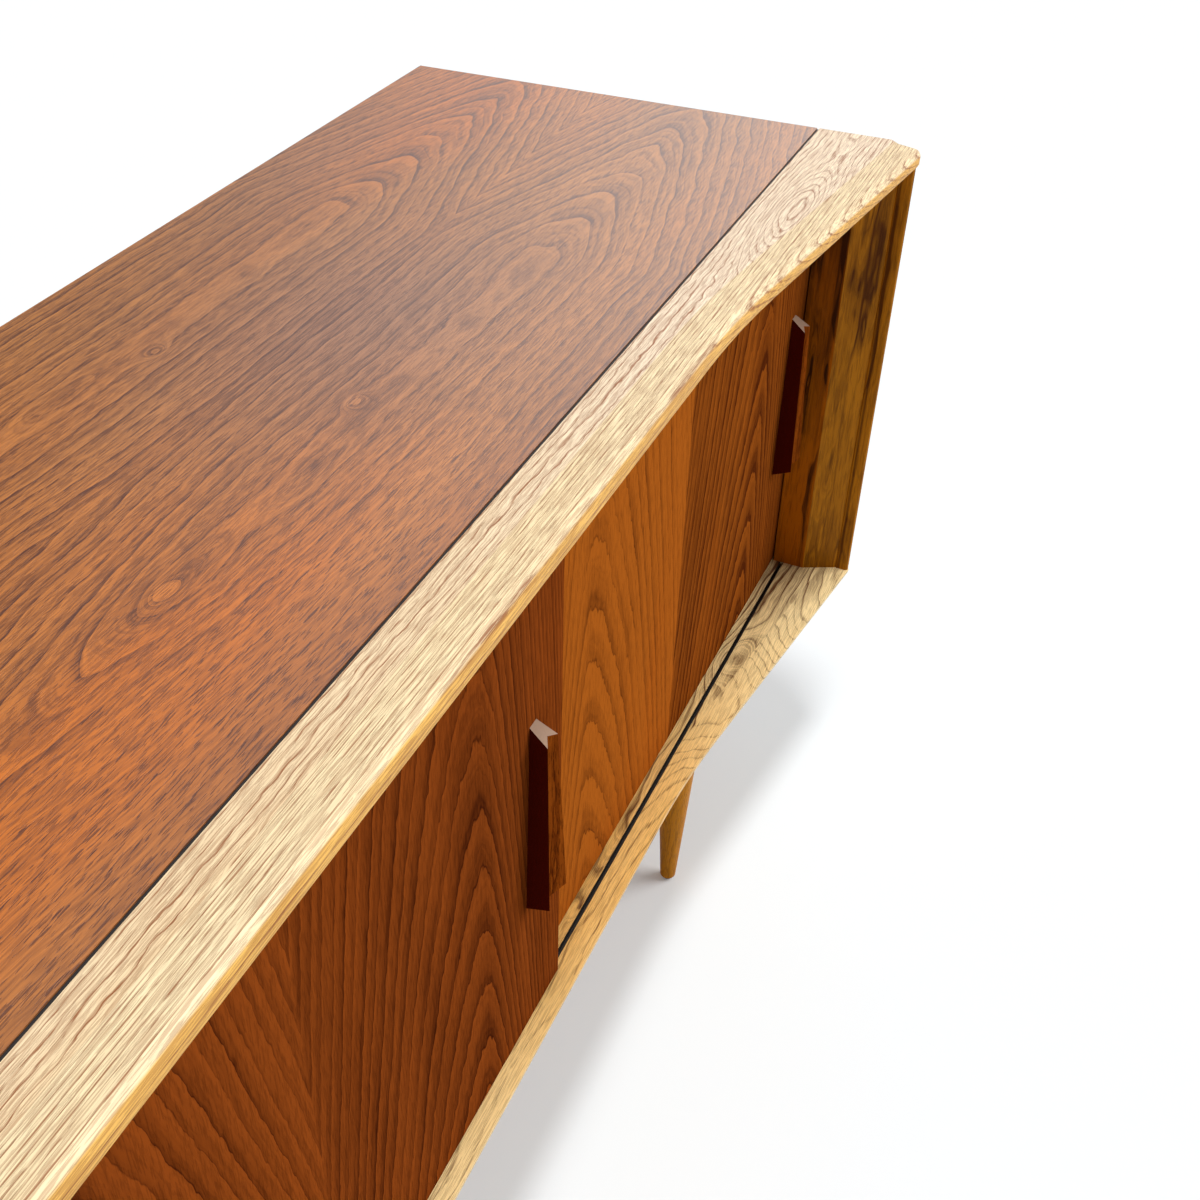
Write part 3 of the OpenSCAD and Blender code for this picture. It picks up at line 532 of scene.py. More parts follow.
def wood(name, cut, look):
    """A wood finish: growth rings, streaks that follow them, broad tone, pores and their relief."""
    material, tree, shader = new_material(name)
    board, grain, leaf = board_axes(tree, cut)
    rings = growth(tree, cut, grain, leaf)
    phase = node(tree, "ShaderNodeMath", {0: rings}, operation="FRACT").outputs[0]
    year = node(tree, "ShaderNodeMath", {0: rings}, operation="FLOOR").outputs[0]
    luck = node(tree, "ShaderNodeTexWhiteNoise", {"W": year}, noise_dimensions="1D").outputs["Value"]
    fading = waves(tree, grain, FADING_SIZE, SEEDS["fading"])
    weight = weighed(tree, (luck, RING_LUCK), (fading, RING_FADING))
    weight = node(
        tree, "ShaderNodeMath", {0: weight, 1: RING_MEAN}, operation="ADD", use_clamp=True
    ).outputs[0]
    mark = ring_profile(tree, phase, look.ring_marks)
    plain = weighed(tree, *spots(tree, board, look.plain_spots))
    figured = node(
        tree, "ShaderNodeMath", {0: plain, 1: -PLAIN_RINGS, 2: 1.0}, operation="MULTIPLY_ADD"
    ).outputs[0]
    weight = node(tree, "ShaderNodeMath", {0: weight, 1: figured}, operation="MULTIPLY").outputs[0]
    ring_mark = node(tree, "ShaderNodeMath", {0: mark, 1: weight}, operation="MULTIPLY").outputs[0]
    tone = waves(tree, board, TONE_SIZE, SEEDS["tone"])
    fibre = waves(tree, grain, look.fibre_size, SEEDS["fibre"], leaf, 3.0)
    darkness = weighed(
        tree, (look.depth, 1.0), (ring_mark, look.ring_share),
        (streaks(tree, grain, rings, look), look.streak_share), (tone, look.tone_share),
        (fibre, look.fibre_share), (leaf, look.leaf_share), *spots(tree, board, look.dark_spots),
    )
    warmth = weighed(
        tree, (waves(tree, board, WARMTH_SIZE, SEEDS["warmth"]), WARMTH_SHARE),
        *spots(tree, board, look.warm_spots),
    )
    layers = [(warmth, look.warm)]
    # Painted reflection: the grey brown sheen patches laid over the colour.
    if look.cool:
        layers.append((weighed(tree, *spots(tree, board, look.cool_spots)), look.cool))
    if look.edge:
        # Painted light: the edge tint, fading in from the first to the second depth below the surface.
        depth = node(tree, "ShaderNodeSeparateXYZ", {0: grain}).outputs[2]
        painted_edge_light = node(
            tree, "ShaderNodeMapRange",
            {"Value": depth, "From Min": look.edge_fade[0], "From Max": look.edge_fade[1]},
            interpolation_type="SMOOTHSTEP",
        ).outputs["Result"]
        layers.append((painted_edge_light, look.edge))
    small_size = [SMALL_PORE * size for size in look.pore_size]
    small_floor = look.pore_floor + SMALL_PORE_RARER
    coarse = pores(tree, grain, rings, look.pore_size, look.pore_floor, SEEDS["pores"])
    small = pores(tree, grain, rings, small_size, small_floor, SEEDS["small pores"])
    coarse = node(tree, "ShaderNodeMath", {0: coarse, 1: figured}, operation="MULTIPLY").outputs[0]
    open_pore = node(tree, "ShaderNodeMath", {0: coarse, 1: small}, operation="MAXIMUM").outputs[0]
    spread = look.pore_share * look.ring_porous
    fewest = node(
        tree, "ShaderNodeMath", {0: plain, 1: PLAIN_PORES * spread, 2: look.pore_share - spread},
        operation="MULTIPLY_ADD",
    ).outputs[0]
    crowd = node(
        tree, "ShaderNodeMapRange", {"Value": mark, "To Min": fewest, "To Max": look.pore_share}
    ).outputs["Result"]
    pored = node(tree, "ShaderNodeMath", {0: open_pore, 1: crowd}, operation="MULTIPLY").outputs[0]
    shade = layered(tree, look.pale, *layers, (darkness, look.dark), (pored, look.pore))
    height = weighed(tree, (open_pore, -1.0), (ring_mark, -RING_RELIEF))
    bump = node(tree, "ShaderNodeBump", {"Height": height, "Distance": look.pore_depth}).outputs[0]
    tree.links.new(shade, shader.inputs["Base Color"])
    tree.links.new(bump, shader.inputs["Normal"])
    shader.inputs["Roughness"].default_value = look.roughness
    shader.inputs["Specular IOR Level"].default_value = look.specular
    shader.inputs["Coat Weight"].default_value = look.coat
    shader.inputs["Coat Roughness"].default_value = COAT_ROUGHNESS
    shader.inputs["Coat IOR"].default_value = COAT_IOR
    return material


def walnut_look(kind, **marks):
    """The colours of a walnut, by kind, with its own marks."""
    pale, dark, pore, warm = (tint(f"{kind}_{part}") for part in ("pale", "dark", "pore", "warm"))
    return Look(pale, dark, pore, warm, **{"ring_marks": WALNUT_RING, **marks})


def ash_look(kind, **marks):
    """The colours of an ash, by kind, with its own marks."""
    pale, line, warm = (tint(f"{kind}_{part}") for part in ("pale", "line", "warm"))
    settings = {
        "pore_size": (group("sizes").ash_pore, 0.8 * MM), "pore_share": 0.8, "pore_floor": 0.53,
        "ring_porous": 0.55, "roughness": 0.45, "specular": 0.3, "fibre_size": (0.03, 0.0014),
        "fibre_share": 0.3, "streak_share": 0.3, "streak_width": 0.15, "streak_length": 0.05,
        "ring_share": 0.7, "tone_share": 0.15,
    }
    return Look(pale, line, line, warm, ASH_RING, **{**settings, **marks})


def top_walnut():
    """Flat-sliced American walnut, two leaves bookmatched: tall arches, two knots, satin lacquer."""
    cut = Cut(
        join=0.048, heart=0.084, pith=0.025, ring=0.0105, start=0.30, surface=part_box("top_panel")[1].z,
        rise=0.048, rise_from=0.545, fall=0.10, fall_from=0.20, sway=0.5, ripple=0.30,
        ripple_size=(0.04, 0.03),
        # A swell with its eye, a second eye, and the lesser swell between them.
        knots=(
            Spot(0.124, 0.081, 0.046, 0.018, -1.0),
            Spot(0.118, 0.080, 0.011, 0.0065, -0.9),
            Spot(0.314, 0.070, 0.010, 0.006, -0.9),
            Spot(0.245, 0.088, 0.03, 0.012, -0.4),
        ),
    )
    look = walnut_look(
        "top", roughness=0.35, specular=0.3, coat=1.0, streak_share=0.4, streak_width=0.15,
        streak_length=0.03, ring_share=0.85, fibre_share=0.2, fibre_size=(0.05, 0.0015), tone_share=0.25,
        pore_size=(group("sizes").walnut_pore, 1.4 * MM), pore_share=1.0, pore_floor=0.535,
        ring_porous=0.75, cool=tint("top_painted_sheen"),
        plain_spots=(Spot(0.05, -0.12, 0.35, 0.07, 1.0),),
        warm_spots=(
            Spot(0.85, 0.16, 0.25, 0.09, 1.0), Spot(0.0, -0.08, 0.25, 0.05, 1.0),
            Spot(0.0, 0.05, 0.3, 0.3, 0.4),
        ),
        # A dark strip along the black line, then a dark ring round each eye and its pale middle.
        dark_spots=(
            Spot(0.05, -0.146, 0.35, 0.03, 0.35),
            Spot(0.118, -0.032, 0.028, 0.013, 0.4), Spot(0.118, -0.032, 0.010, 0.006, -0.9),
            Spot(0.314, -0.022, 0.020, 0.010, 0.4), Spot(0.314, -0.022, 0.007, 0.005, -0.9),
        ),
        # Painted reflection: grey brown patches in the middle and at the back right, where the lacquer's
        # sheen shows.
        cool_spots=(Spot(0.40, 0.03, 0.15, 0.10, 0.6), Spot(0.62, 0.2, 0.15, 0.04, 0.3)),
    )
    return wood("walnut veneer of the top", cut, look)


def case_walnut(name, along, across, through):
    """Flat-sliced walnut on the outside of the case, bookmatched like the top."""
    cut = Cut(
        along=along, across=across, through=through, join=0.048, heart=0.09, ring=0.0105, rise=0.06,
        rise_from=0.35, fall=0.1, fall_from=0.2, sway=0.5, ripple=0.3,
    )
    return wood(name, cut, walnut_look("top", roughness=0.38, coat=0.2))


def door_walnut(door, kind, leaf_share):
    """Walnut veneer bookmatched about the middle of a door, its arches pointing up, oiled dull."""
    low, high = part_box(door)
    cut = Cut(
        along="Z", across="X", through="Y", join=(low.x + high.x) / 2, heart=0.176, lean=0.5, pith=0.005,
        ring=0.018, steepen=1.6, surface=low.y, rise=0.052, rise_from=0.0, start=0.4, sway=0.3,
        sway_size=(0.20, 0.04), ripple=0.22, ripple_size=(0.015, 0.006), uneven=0.3,
    )
    look = walnut_look(
        kind, ring_marks=DOOR_RING, roughness=0.6, specular=0.0, leaf_share=leaf_share, streak_share=0.25,
        streak_width=0.2, streak_length=0.12, ring_share=1.0, tone_share=0.25, fibre_share=0.25,
        fibre_size=(0.05, 0.002),
        pore_size=(group("sizes").walnut_pore, 1.2 * MM), pore_share=0.3,
    )
    return wood("walnut veneer of " + door, cut, look)


def ash_band():
    """Flat-sawn ash: a pale ground with thin brown growth lines that close in long eyes."""
    low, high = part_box("top_band")
    cut = Cut(
        heart=(low.y + high.y) / 2, pith=0.020, ring=0.0038, surface=high.z, sway=1.3,
        sway_size=(0.22, 0.03), ripple=0.6, ripple_size=(0.02, 0.010),
        knots=(
            Spot(0.685, -0.173, 0.080, 0.020, -7.0),
            Spot(0.850, -0.172, 0.045, 0.014, -3.0),
            Spot(0.130, -0.178, 0.090, 0.016, -5.0),
        ),
    )
    golden = (Spot(-0.1, -0.17, 0.35, 1.0, 0.8),)
    return wood("ash of the top band", cut, ash_look("ash", warm_spots=golden))


def ash_floor(name, knots, **marks):
    """Boldly figured ash of the lower boards: brown contour lines on a yellow ground."""
    cut = Cut(
        heart=-0.235, pith=0.030, ring=0.0080, surface=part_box(name)[1].z, sway=2.2,
        sway_size=(0.15, 0.035), ripple=0.35, ripple_size=(0.04, 0.015), knots=knots,
    )
    settings = {
        "warm_spots": (Spot(0.42, -0.19, 0.24, 1.0, 0.9),), "ring_share": 0.85, "tone_share": 0.3,
        "pore_share": 0.6, "streak_share": 0.5, "depth": -0.28, **marks,
    }
    return wood("ash of " + name, cut, ash_look("floor", **settings))


def ash_nose(name, surface):
    """Straighter-grained ash of the long nose boards, a little yellower than the bands."""
    cut = Cut(
        heart=-0.36, pith=0.14, ring=0.0024, surface=surface, sway=1.0, sway_size=(0.5, 0.04), ripple=0.3,
        ripple_size=(0.08, 0.012),
    )
    # The rounded front edge gets painted light: a yellower tint for warm light bounced onto it.
    look = ash_look(
        "nose", ring_share=0.6, edge=tint("nose_painted_edge_light"), edge_fade=(-3.0 * MM, -4.5 * MM),
    )
    return wood(name, cut, look)


def brown_ash(name, kind, across, through, heart, **marks):
    """Brown ash: golden streaks and darker olive ones up the grain, with a fine ripple, satin oiled."""
    cut = Cut(
        along="Z", across=across, through=through, heart=heart, pith=0.03, ring=0.009, sway=1.4,
        sway_size=(0.25, 0.02), ripple=0.35, ripple_size=(0.05, 0.012),
    )
    look = walnut_look(
        kind, specular=0.06, streak_share=0.6, streak_width=0.3, streak_length=0.2, ring_share=0.6,
        tone_share=0.2, fibre_share=0.3, fibre_size=(0.05, 0.0015),
        pore_size=(group("sizes").ash_pore, 1.2 * MM), pore_share=0.4, **marks,
    )
    return wood(name, cut, look)


def pull_walnut():
    """Solid walnut of the pulls: red brown in the groove, painted shade on the flanks, paler ends that are
    partly end grain and partly painted light.
    """
    cut = Cut(
        along="Z", across="X", through="Y", heart=0.3, pith=0.05, ring=0.006, sway=0.8,
        sway_size=(0.2, 0.01),
    )
    look = walnut_look("pull", specular=0.0, pore_size=(10 * MM, 1.2 * MM))
    material = wood("solid walnut of the pulls", cut, look)
    tree = material.node_tree
    shader = next(n for n in tree.nodes if n.type == "BSDF_PRINCIPLED")
    shade = shader.inputs["Base Color"].links[0].from_socket
    facing = node(tree, "ShaderNodeTexCoord").outputs["Normal"]
    facing = node(tree, "ShaderNodeVectorMath", {0: facing}, operation="ABSOLUTE").outputs[0]
    facing = node(tree, "ShaderNodeSeparateXYZ", {0: facing}).outputs
    # Painted shade on the faces turned to the sides; paler ends, partly end grain and partly painted light,
    # on the faces turned up and down.
    painted_flank_shade, end = (
        node(
            tree, "ShaderNodeMapRange", {"Value": facing[axis], "From Min": start, "From Max": full}
        ).outputs[0]
        for axis, start, full in (("X", 0.7, 0.85), ("Z", 0.4, 0.6))
    )
    shade = layered(tree, shade, (painted_flank_shade, tint("pull_flank_painted_shade")), (end, tint("pull_end_grain_and_painted_light")))
    tree.links.new(shade, shader.inputs["Base Color"])
    return material


def inside_walnut():
    """Plain walnut veneer of the partitions, shelves and back."""
    cut = Cut(heart=0.1, pith=0.03, ring=0.012, sway=0.8)
    return wood("walnut veneer of the inside", cut, walnut_look("inside", specular=0.3))


def plain_finish(name, shade, grit, roughness, metallic=0.0, specular=0.5, spread=0.12):
    """A drawn, moulded or plated finish: one colour with fine mottling and a grit-sized relief.

    The grit is drawn coarser than the real one, which is too fine to show.
    """
    material, tree, shader = new_material(name)
    place = node(tree, "ShaderNodeTexCoord").outputs["Object"]
    cloud = node(
        tree, "ShaderNodeTexNoise", {"Vector": place, "Scale": 1 / grit, "Detail": 3.0, "Roughness": 0.6}
    ).outputs["Fac"]
    pale = (*(min(1.0, part * (1 + spread)) for part in shade), 1)
    deep = (*(part * (1 - spread) for part in shade), 1)
    share = node(
        tree, "ShaderNodeMapRange", {"Value": cloud, "From Min": 0.3, "From Max": 0.7}
    ).outputs["Result"]
    bump = node(tree, "ShaderNodeBump", {"Height": cloud, "Distance": 0.02 * MM, "Strength": 0.6}).outputs[0]
    rough = node(
        tree, "ShaderNodeMapRange", {"Value": share, "To Min": 0.9 * roughness, "To Max": 1.1 * roughness}
    ).outputs["Result"]
    tree.links.new(layered(tree, deep, (share, pale)), shader.inputs["Base Color"])
    tree.links.new(rough, shader.inputs["Roughness"])
    tree.links.new(bump, shader.inputs["Normal"])
    shader.inputs["Metallic"].default_value = metallic
    shader.inputs["Specular IOR Level"].default_value = specular
    return material


def inlay_black():
    """Dyed black veneer line: dead matt, nearly black."""
    return plain_finish("dyed black inlay", group("colours").inlay, 1.5 * MM, 0.6, specular=0.3)


def track_plastic():
    """Extruded ABS track liner: black, faintly glossy where the doors run."""
    return plain_finish("black ABS track", group("colours").track, 1.0 * MM, 0.35)


def zinc_steel():
    """Zinc-plated steel of the screws: pale grey with a soft shine."""
    return plain_finish("zinc-plated steel", linear("#B9BBBD"), 0.8 * MM, 0.32, metallic=1.0)


def turned_brass():
    """Turned brass of the inserts and the shelf pins: warm yellow with a dulled shine."""
    return plain_finish("turned brass", linear("#B08D57"), 0.6 * MM, 0.3, metallic=1.0)


def moulded_nylon():
    """Moulded nylon of the foot glides: brown-black and waxy."""
    return plain_finish("moulded nylon", linear("#3A2A20"), 0.8 * MM, 0.45)


# ---------------------------------------------------------------------------------------------
# Modelling

MERGE_WITHIN = 0.01 * MM
FLAT_WITHIN = math.radians(0.05)


def select_only(piece):
    """Makes a piece the one thing that the next operator acts on."""
    if bpy.context.object and bpy.context.object.mode != "OBJECT":
        bpy.ops.object.mode_set(mode="OBJECT")
    bpy.ops.object.select_all(action="DESELECT")
    piece.select_set(True)
    bpy.context.view_layer.objects.active = piece


def apply_modifier(piece, kind, **settings):
    """Gives a piece a modifier with its settings and applies it."""
    select_only(piece)
    modifier = piece.modifiers.new(kind.title(), kind)
    for name, value in settings.items():
        setattr(modifier, name, value)
    bpy.ops.object.modifier_apply(modifier=modifier.name)


def merged_copy(name):
    """A copy of a CAD node, with its loose triangles merged into one closed mesh."""
    select_only(frame["nodes"][name])
    bpy.ops.object.duplicate()
    piece = bpy.context.object
    piece.name = name + "_finished"
    piece.data.name = piece.name
    piece.parent = None
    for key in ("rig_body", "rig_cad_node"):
        del piece[key]
    bpy.ops.object.mode_set(mode="EDIT")
    bpy.ops.mesh.select_all(action="SELECT")
    bpy.ops.mesh.customdata_custom_splitnormals_clear()
    bpy.ops.mesh.remove_doubles(threshold=MERGE_WITHIN)
    bpy.ops.object.mode_set(mode="OBJECT")
    return piece


def join_flat_faces(piece):
    """Dissolves the triangle edges that lie inside flat faces."""
    select_only(piece)
    bpy.ops.object.mode_set(mode="EDIT")
    bpy.ops.mesh.select_all(action="SELECT")
    bpy.ops.mesh.dissolve_limited(angle_limit=FLAT_WITHIN)
    bpy.ops.object.mode_set(mode="OBJECT")


def smooth_curves(piece, angle=30):
    """Smooths what curves and keeps the corners crisp."""
    select_only(piece)
    bpy.ops.object.shade_smooth_by_angle(angle=math.radians(angle))
    apply_modifier(piece, "WEIGHTED_NORMAL", keep_sharp=True)


def eased(name, width, segments=2, angle=35):
    """A copy of a CAD node with its edges eased, as a maker does with fine paper."""
    piece = merged_copy(name)
    join_flat_faces(piece)
    apply_modifier(
        piece, "BEVEL", width=width, segments=segments, limit_method="ANGLE",
        angle_limit=math.radians(angle), use_clamp_overlap=True,
    )
    smooth_curves(piece)
    return piece


def dress(piece, material, name=None):
    """Gives a piece its finish and, if it replaces the CAD node of that name, its body, and hides that node.
    """
    piece.data.materials.clear()
    piece.data.materials.append(material)
    if name:
        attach(piece, BODY_OF[name])
        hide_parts(name)


# ---------------------------------------------------------------------------------------------
# Operators

SENSOR_WIDTH = 36  # mm
NEAREST_SEEN = 0.02
LAMP_DISTANCE = 3
FLOOR_SIZE = 40


class CABINET_OT_studio(bpy.types.Operator):
    """Sets up the camera, the lamps, the white surroundings and the floor"""

    bl_idname = "cabinet.studio"
    bl_label = "Studio"

    def execute(self, context):
        studio = group("studio")
        lens = bpy.data.cameras.new("camera")
        camera = bpy.data.objects.new("camera", lens)
        context.scene.collection.objects.link(camera)
        lens.sensor_width = SENSOR_WIDTH
        lens.lens = studio.lens
        lens.shift_x, lens.shift_y = studio.shift
        lens.clip_start = NEAREST_SEEN
        camera.matrix_world = (
            Matrix.Translation(studio.camera_place)
            @ Matrix.Rotation(-studio.heading, 4, "Z")
            @ Matrix.Rotation(math.pi / 2 - studio.tilt, 4, "X")
            @ Matrix.Rotation(studio.roll, 4, "Z")
        )
        context.scene.camera = camera
        context.scene.view_settings.view_transform = "Standard"
        self.lamp(context, "key_light", studio.key, spread=9, towards=Vector((-0.16, -0.06, 1)))
        self.lamp(context, "fill_light", studio.fill, spread=40, towards=Vector((0.45, -0.75, 0.75)))
        self.surroundings(context, studio.sky)
        self.floor()
        return {"FINISHED"}

    def lamp(self, context, name, strength, spread, towards):
        """A soft lamp so far away that it lights all of the floor alike."""
        data = bpy.data.lights.new(name, "SUN")
        data.energy = strength
        data.angle = math.radians(spread)
        lamp = bpy.data.objects.new(name, data)
        context.scene.collection.objects.link(lamp)
        lamp.rotation_euler = towards.to_track_quat("Z", "Y").to_euler()
        lamp.location = towards.normalized() * LAMP_DISTANCE

    def surroundings(self, context, strength):
        """White for the camera, a bright wall in front for reflections, and soft light for the rest."""
        world = bpy.data.worlds.new("surroundings")
        context.scene.world = world
        world.use_nodes = True
        tree = world.node_tree
        tree.nodes.clear()
        path = node(tree, "ShaderNodeLightPath").outputs
        way = node(tree, "ShaderNodeTexCoord").outputs["Generated"]
        axes = node(tree, "ShaderNodeSeparateXYZ", {0: way}).outputs
        soft = node(
            tree, "ShaderNodeMath", {0: axes["X"], 1: 0.6 * strength, 2: strength}, operation="MULTIPLY_ADD"
        ).outputs[0]
        forward = node(
            tree, "ShaderNodeMapRange",
            {"Value": axes["Y"], "From Min": 0.25, "From Max": 0.65, "To Min": 2.3, "To Max": 0.2},
        ).outputs["Result"]
        upward = node(
            tree, "ShaderNodeMapRange",
            {"Value": axes["Z"], "From Min": 0.3, "From Max": 0.5, "To Min": 0.5, "To Max": 1.0},
        ).outputs["Result"]
        wall = node(tree, "ShaderNodeMath", {0: forward, 1: upward}, operation="MULTIPLY").outputs[0]
        level = node(
            tree, "ShaderNodeMix", {"Factor": path["Is Glossy Ray"], "A": soft, "B": wall}, data_type="FLOAT"
        ).outputs["Result"]
        white = node(
            tree, "ShaderNodeMath", {0: path["Is Camera Ray"], 1: path["Is Transmission Ray"]},
            operation="MAXIMUM",
        ).outputs[0]
        level = node(
            tree, "ShaderNodeMix", {"Factor": white, "A": level, "B": 1.0}, data_type="FLOAT"
        ).outputs["Result"]
        light = node(tree, "ShaderNodeBackground", {"Color": (1, 1, 1, 1), "Strength": level}).outputs[0]
        node(tree, "ShaderNodeOutputWorld", {"Surface": light})

    def floor(self):
        """A wide floor that is white to the camera, keeps a pale shadow, and is plain grey to all else."""
        bpy.ops.object.select_all(action="DESELECT")
        bpy.ops.mesh.primitive_plane_add(size=FLOOR_SIZE, location=(0, 0, CAD_BOX[0].z))
        floor = bpy.context.object
        floor.name = "floor"
        bpy.ops.object.transform_apply(location=True, rotation=True, scale=True)
        material = bpy.data.materials.new("white studio floor")
        material.use_nodes = True
        tree = material.node_tree
        tree.nodes.clear()
        seen = node(tree, "ShaderNodeLightPath").outputs["Is Camera Ray"]
        shaded = node(tree, "ShaderNodeBsdfDiffuse", {"Color": (0.8, 0.8, 0.8, 1)}).outputs[0]
        pale = node(tree, "ShaderNodeBsdfDiffuse", {"Color": (0.72, 0.755, 0.775, 1)}).outputs[0]
        glow = node(tree, "ShaderNodeEmission", {"Color": (1, 1, 1, 1), "Strength": 0.12}).outputs[0]
        lit = node(tree, "ShaderNodeAddShader", {0: pale, 1: glow}).outputs[0]
        both = node(tree, "ShaderNodeMixShader", {0: seen, 1: shaded, 2: lit}).outputs[0]
        node(tree, "ShaderNodeOutputMaterial", {"Surface": both})
        floor.data.materials.append(material)


class CABINET_OT_case(bpy.types.Operator):
    """Veneers the top, the sides and the bottom of the case and eases their edges"""

    bl_idname = "cabinet.case"
    bl_label = "Case boards"

    def execute(self, context):
        edge = group("sizes").edge
        dress(eased("top_panel", edge), top_walnut(), "top_panel")
        side = case_walnut("walnut veneer of the sides", "Z", "Y", "X")
        for name in ("side_panel_left", "side_panel_right"):
            dress(eased(name, edge), side, name)
        bottom = case_walnut("walnut veneer of the bottom", "X", "Y", "Z")
        dress(eased("bottom_panel", edge), bottom, "bottom_panel")
        black = inlay_black()
        for name in ("top_line", "side_line_left", "side_line_right", "bottom_line"):
            dress(frame["nodes"][name], black)
        return {"FINISHED"}


class CABINET_OT_front_frame(bpy.types.Operator):
    """Finishes the ash bands and the swept nose boards of the front frame"""

    bl_idname = "cabinet.front_frame"
    bl_label = "Front frame"

    def execute(self, context):
        self.piece("top_band", ash_band(), "ash")
        eyes = (Spot(0.36, -0.170, 0.05, 0.014, 2.0), Spot(0.66, -0.165, 0.04, 0.02, -3.0))
        # Painted shade: narrow dark strips laid along the lower band.
        shaded = (
            Spot(0.63, -0.178, 0.06, 0.005, 0.6), Spot(0.50, -0.176, 0.04, 0.005, 0.5),
            Spot(0.80, -0.175, 0.06, 0.025, 0.7), Spot(0.5, -0.158, 1.0, 0.007, 0.2),
        )
        self.piece("bottom_band", ash_floor("bottom_band", eyes, dark_spots=shaded), "ash")
        ribs = (Spot(0.600, -0.21, 0.10, 0.08, 9.0),)
        # Painted shade: a dark spot on the lower nose near its right end, in the corner by the side board.
        corner = (Spot(0.81, -0.200, 0.05, 0.012, 0.7),)
        nose = ash_floor("bottom_nose", ribs, streak_share=0.25, ring_share=0.6, dark_spots=corner)
        self.piece("bottom_nose", nose, "ash")
        self.piece("top_nose", ash_nose("ash of the top nose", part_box("top_nose")[1].z), "ash")
        # On the side bands: a thin dark line with a thin pale line beside it, where the inner face bends;
        # painted shade high up under the top; painted light low down, for light bounced up from below.
        side_lines_painted_shade_and_light = (
            Spot(0.42, -0.180, 0.5, 0.002, 0.4), Spot(0.42, -0.1855, 0.5, 0.002, -0.6),
            Spot(0.60, -0.17, 0.12, 0.1, 0.6), Spot(0.25, -0.17, 0.1, 0.1, -0.6),
        )
        # The side bands and side noses carry on every face the colours that their inner faces show in shade.
        band = brown_ash("brown ash of the side bands", "side_brown", "Y", "X", -0.1, dark_spots=side_lines_painted_shade_and_light)
        curls = (
            Spot(0.43, -0.204, 0.035, 0.008, -0.6), Spot(0.52, -0.202, 0.05, 0.004, 0.3),
            Spot(0.42, -0.2165, 0.5, 0.0012, 0.7),
        )
        edge = brown_ash("brown ash of the side noses", "golden", "Y", "X", -0.4, dark_spots=curls)
        for side in ("left", "right"):
            self.piece("side_band_" + side, band, "brown_ash")
            self.piece("side_nose_" + side, edge, "brown_ash")
        return {"FINISHED"}

    def piece(self, name, material, slot):
        """A copy of one board of the frame, smooth along its sweep."""
        copy = merged_copy(name)
        smooth_curves(copy, 28)
        dress(copy, material, name)


class CABINET_OT_doors(bpy.types.Operator):
    """Veneers the three sliding doors and their edges"""

    bl_idname = "cabinet.doors"
    bl_label = "Doors"

    def execute(self, context):
        # The middle door's darker, redder colours are partly painted shade.
        for name, kind, leaf_share in (
            ("door_left", "door", 0.2), ("door_middle", "front", 0.08), ("door_right", "door", 0.26),
        ):
            material = door_walnut(name, kind, leaf_share)
            dress(eased(name, group("sizes").door_edge), material, name)
        return {"FINISHED"}


class CABINET_OT_pulls(bpy.types.Operator):
    """Rounds and oils the four door pulls"""

    bl_idname = "cabinet.pulls"
    bl_label = "Pulls"

    def execute(self, context):
        material = pull_walnut()
        for name in ("pull_left", "pull_middle_left", "pull_middle_right", "pull_right"):
            dress(eased(name, group("sizes").pull_edge, 3, 20), material, name)
        return {"FINISHED"}


class CABINET_OT_legs(bpy.types.Operator):
    """Finishes the tapered legs, their glides, bolts and inserts"""

    bl_idname = "cabinet.legs"
    bl_label = "Legs"

    def execute(self, context):
        wood_finish = brown_ash("brown ash of the legs", "golden", "X", "Y", 0.4, depth=-0.35)
        steel, brass, nylon = zinc_steel(), turned_brass(), moulded_nylon()
        for place in ("front_left", "front_right", "rear_left", "rear_right"):
            name = "leg_" + place
            leg = merged_copy(name)
            smooth_curves(leg, 40)
            dress(leg, wood_finish, name)
            dress(frame["nodes"]["glide_" + place], nylon)
            dress(frame["nodes"]["hanger_bolt_" + place], steel)
            dress(frame["nodes"]["leg_insert_" + place], brass)
        return {"FINISHED"}


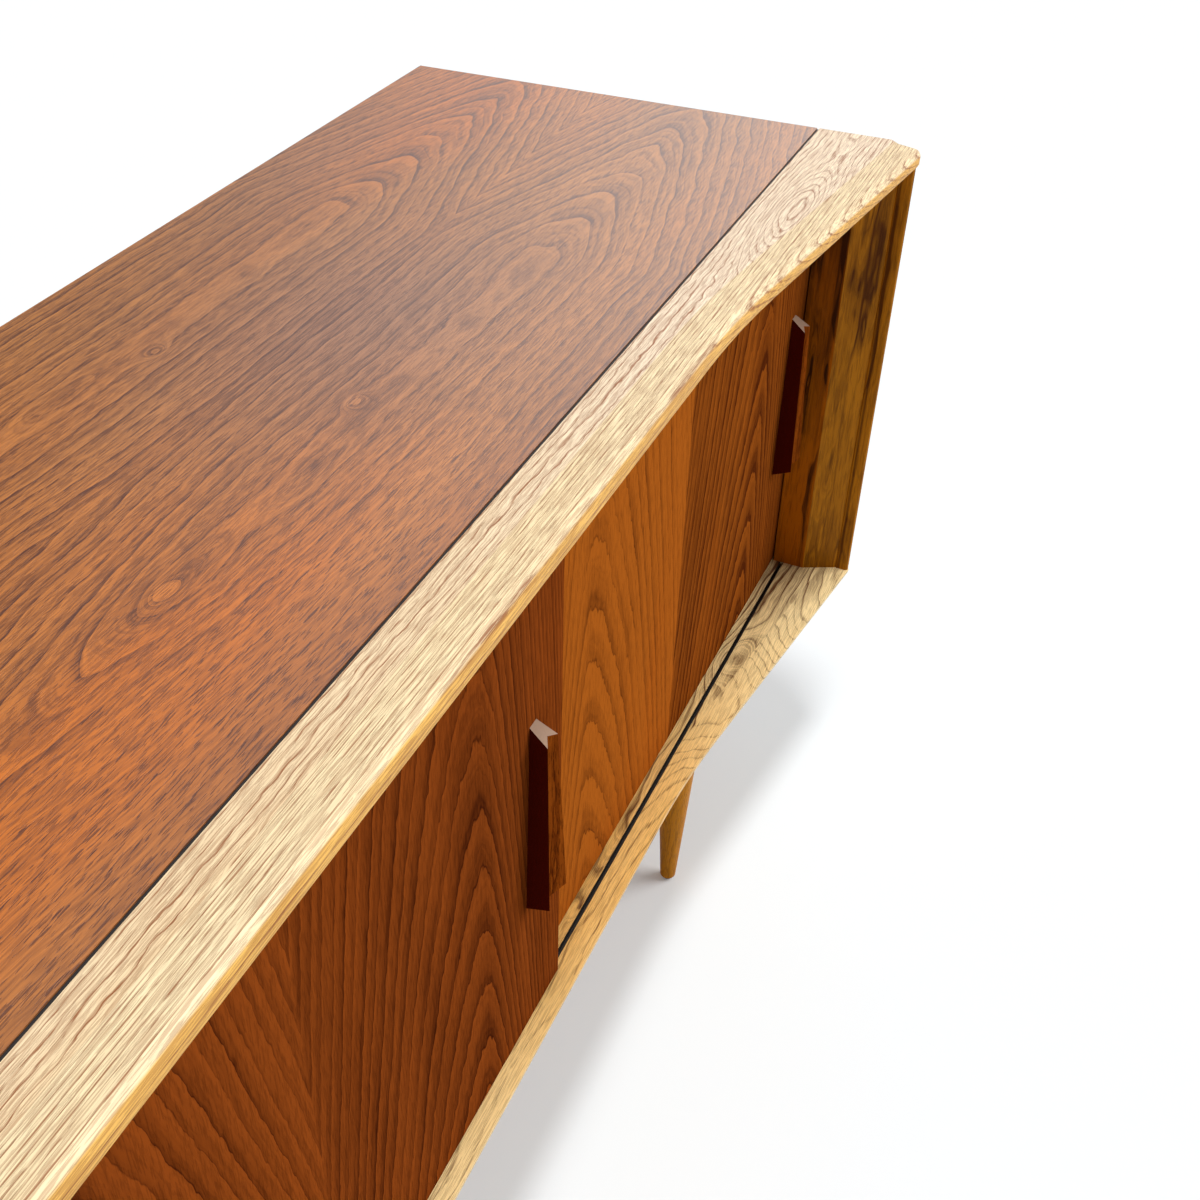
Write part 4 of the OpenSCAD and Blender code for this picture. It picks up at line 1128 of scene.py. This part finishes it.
class CABINET_OT_inside(bpy.types.Operator):
    """Finishes the partitions, shelves, shelf pins, back panel and door tracks"""

    bl_idname = "cabinet.inside"
    bl_label = "Inside and back"

    def execute(self, context):
        material = inside_walnut()
        edge = group("sizes").edge
        for name in (
            "partition_left", "partition_right", "shelf_left", "shelf_middle", "shelf_right", "back_panel",
        ):
            dress(eased(name, edge), material, name)
        dress(frame["nodes"]["shelf_pins"], turned_brass())
        track = track_plastic()
        for name in ("track_liner_rear", "track_liner_front"):
            dress(frame["nodes"][name], track)
        return {"FINISHED"}


class CABINET_OT_screws(bpy.types.Operator):
    """Finishes the screws of the back panel and of the pulls"""

    bl_idname = "cabinet.screws"
    bl_label = "Screws"

    def execute(self, context):
        steel = zinc_steel()
        for name in ("back_screws", "pull_screws_left", "pull_screws_middle", "pull_screws_right"):
            dress(frame["nodes"][name], steel)
        return {"FINISHED"}


OPERATORS = (
    CABINET_OT_studio,
    CABINET_OT_case,
    CABINET_OT_front_frame,
    CABINET_OT_doors,
    CABINET_OT_pulls,
    CABINET_OT_legs,
    CABINET_OT_inside,
    CABINET_OT_screws,
)


class CABINET_PT_panel(bpy.types.Panel):
    """Lists the steps that dress the cabinet and the values they use"""

    bl_idname = "CABINET_PT_panel"
    bl_label = "Media Cabinet"
    bl_space_type = "VIEW_3D"
    bl_region_type = "UI"
    bl_category = "Cabinet"

    def draw(self, context):
        for step in OPERATORS:
            self.layout.operator(step.bl_idname)
        for name in GROUPS:
            box = self.layout.box()
            for key in group(name).bl_rna.properties.keys()[2:]:
                box.prop(group(name), key)


GROUPS = {"colours": CABINET_PG_colours, "sizes": CABINET_PG_sizes, "studio": CABINET_PG_studio}
CLASSES = (*GROUPS.values(), *OPERATORS, CABINET_PT_panel)


def register():
    """Registers the classes and gives the scene its properties."""
    for item in CLASSES:
        bpy.utils.register_class(item)
    for name, item in GROUPS.items():
        setattr(bpy.types.Scene, "cabinet_" + name, bpy.props.PointerProperty(type=item))


def unregister():
    """Takes the properties and the classes away again."""
    for name in GROUPS:
        delattr(bpy.types.Scene, "cabinet_" + name)
    for item in reversed(CLASSES):
        bpy.utils.unregister_class(item)


def main():
    """Dresses the whole cabinet."""
    register()
    bpy.ops.cabinet.studio()
    bpy.ops.cabinet.case()
    bpy.ops.cabinet.front_frame()
    bpy.ops.cabinet.doors()
    bpy.ops.cabinet.pulls()
    bpy.ops.cabinet.legs()
    bpy.ops.cabinet.inside()
    bpy.ops.cabinet.screws()


if __name__ == "__main__":
    main()
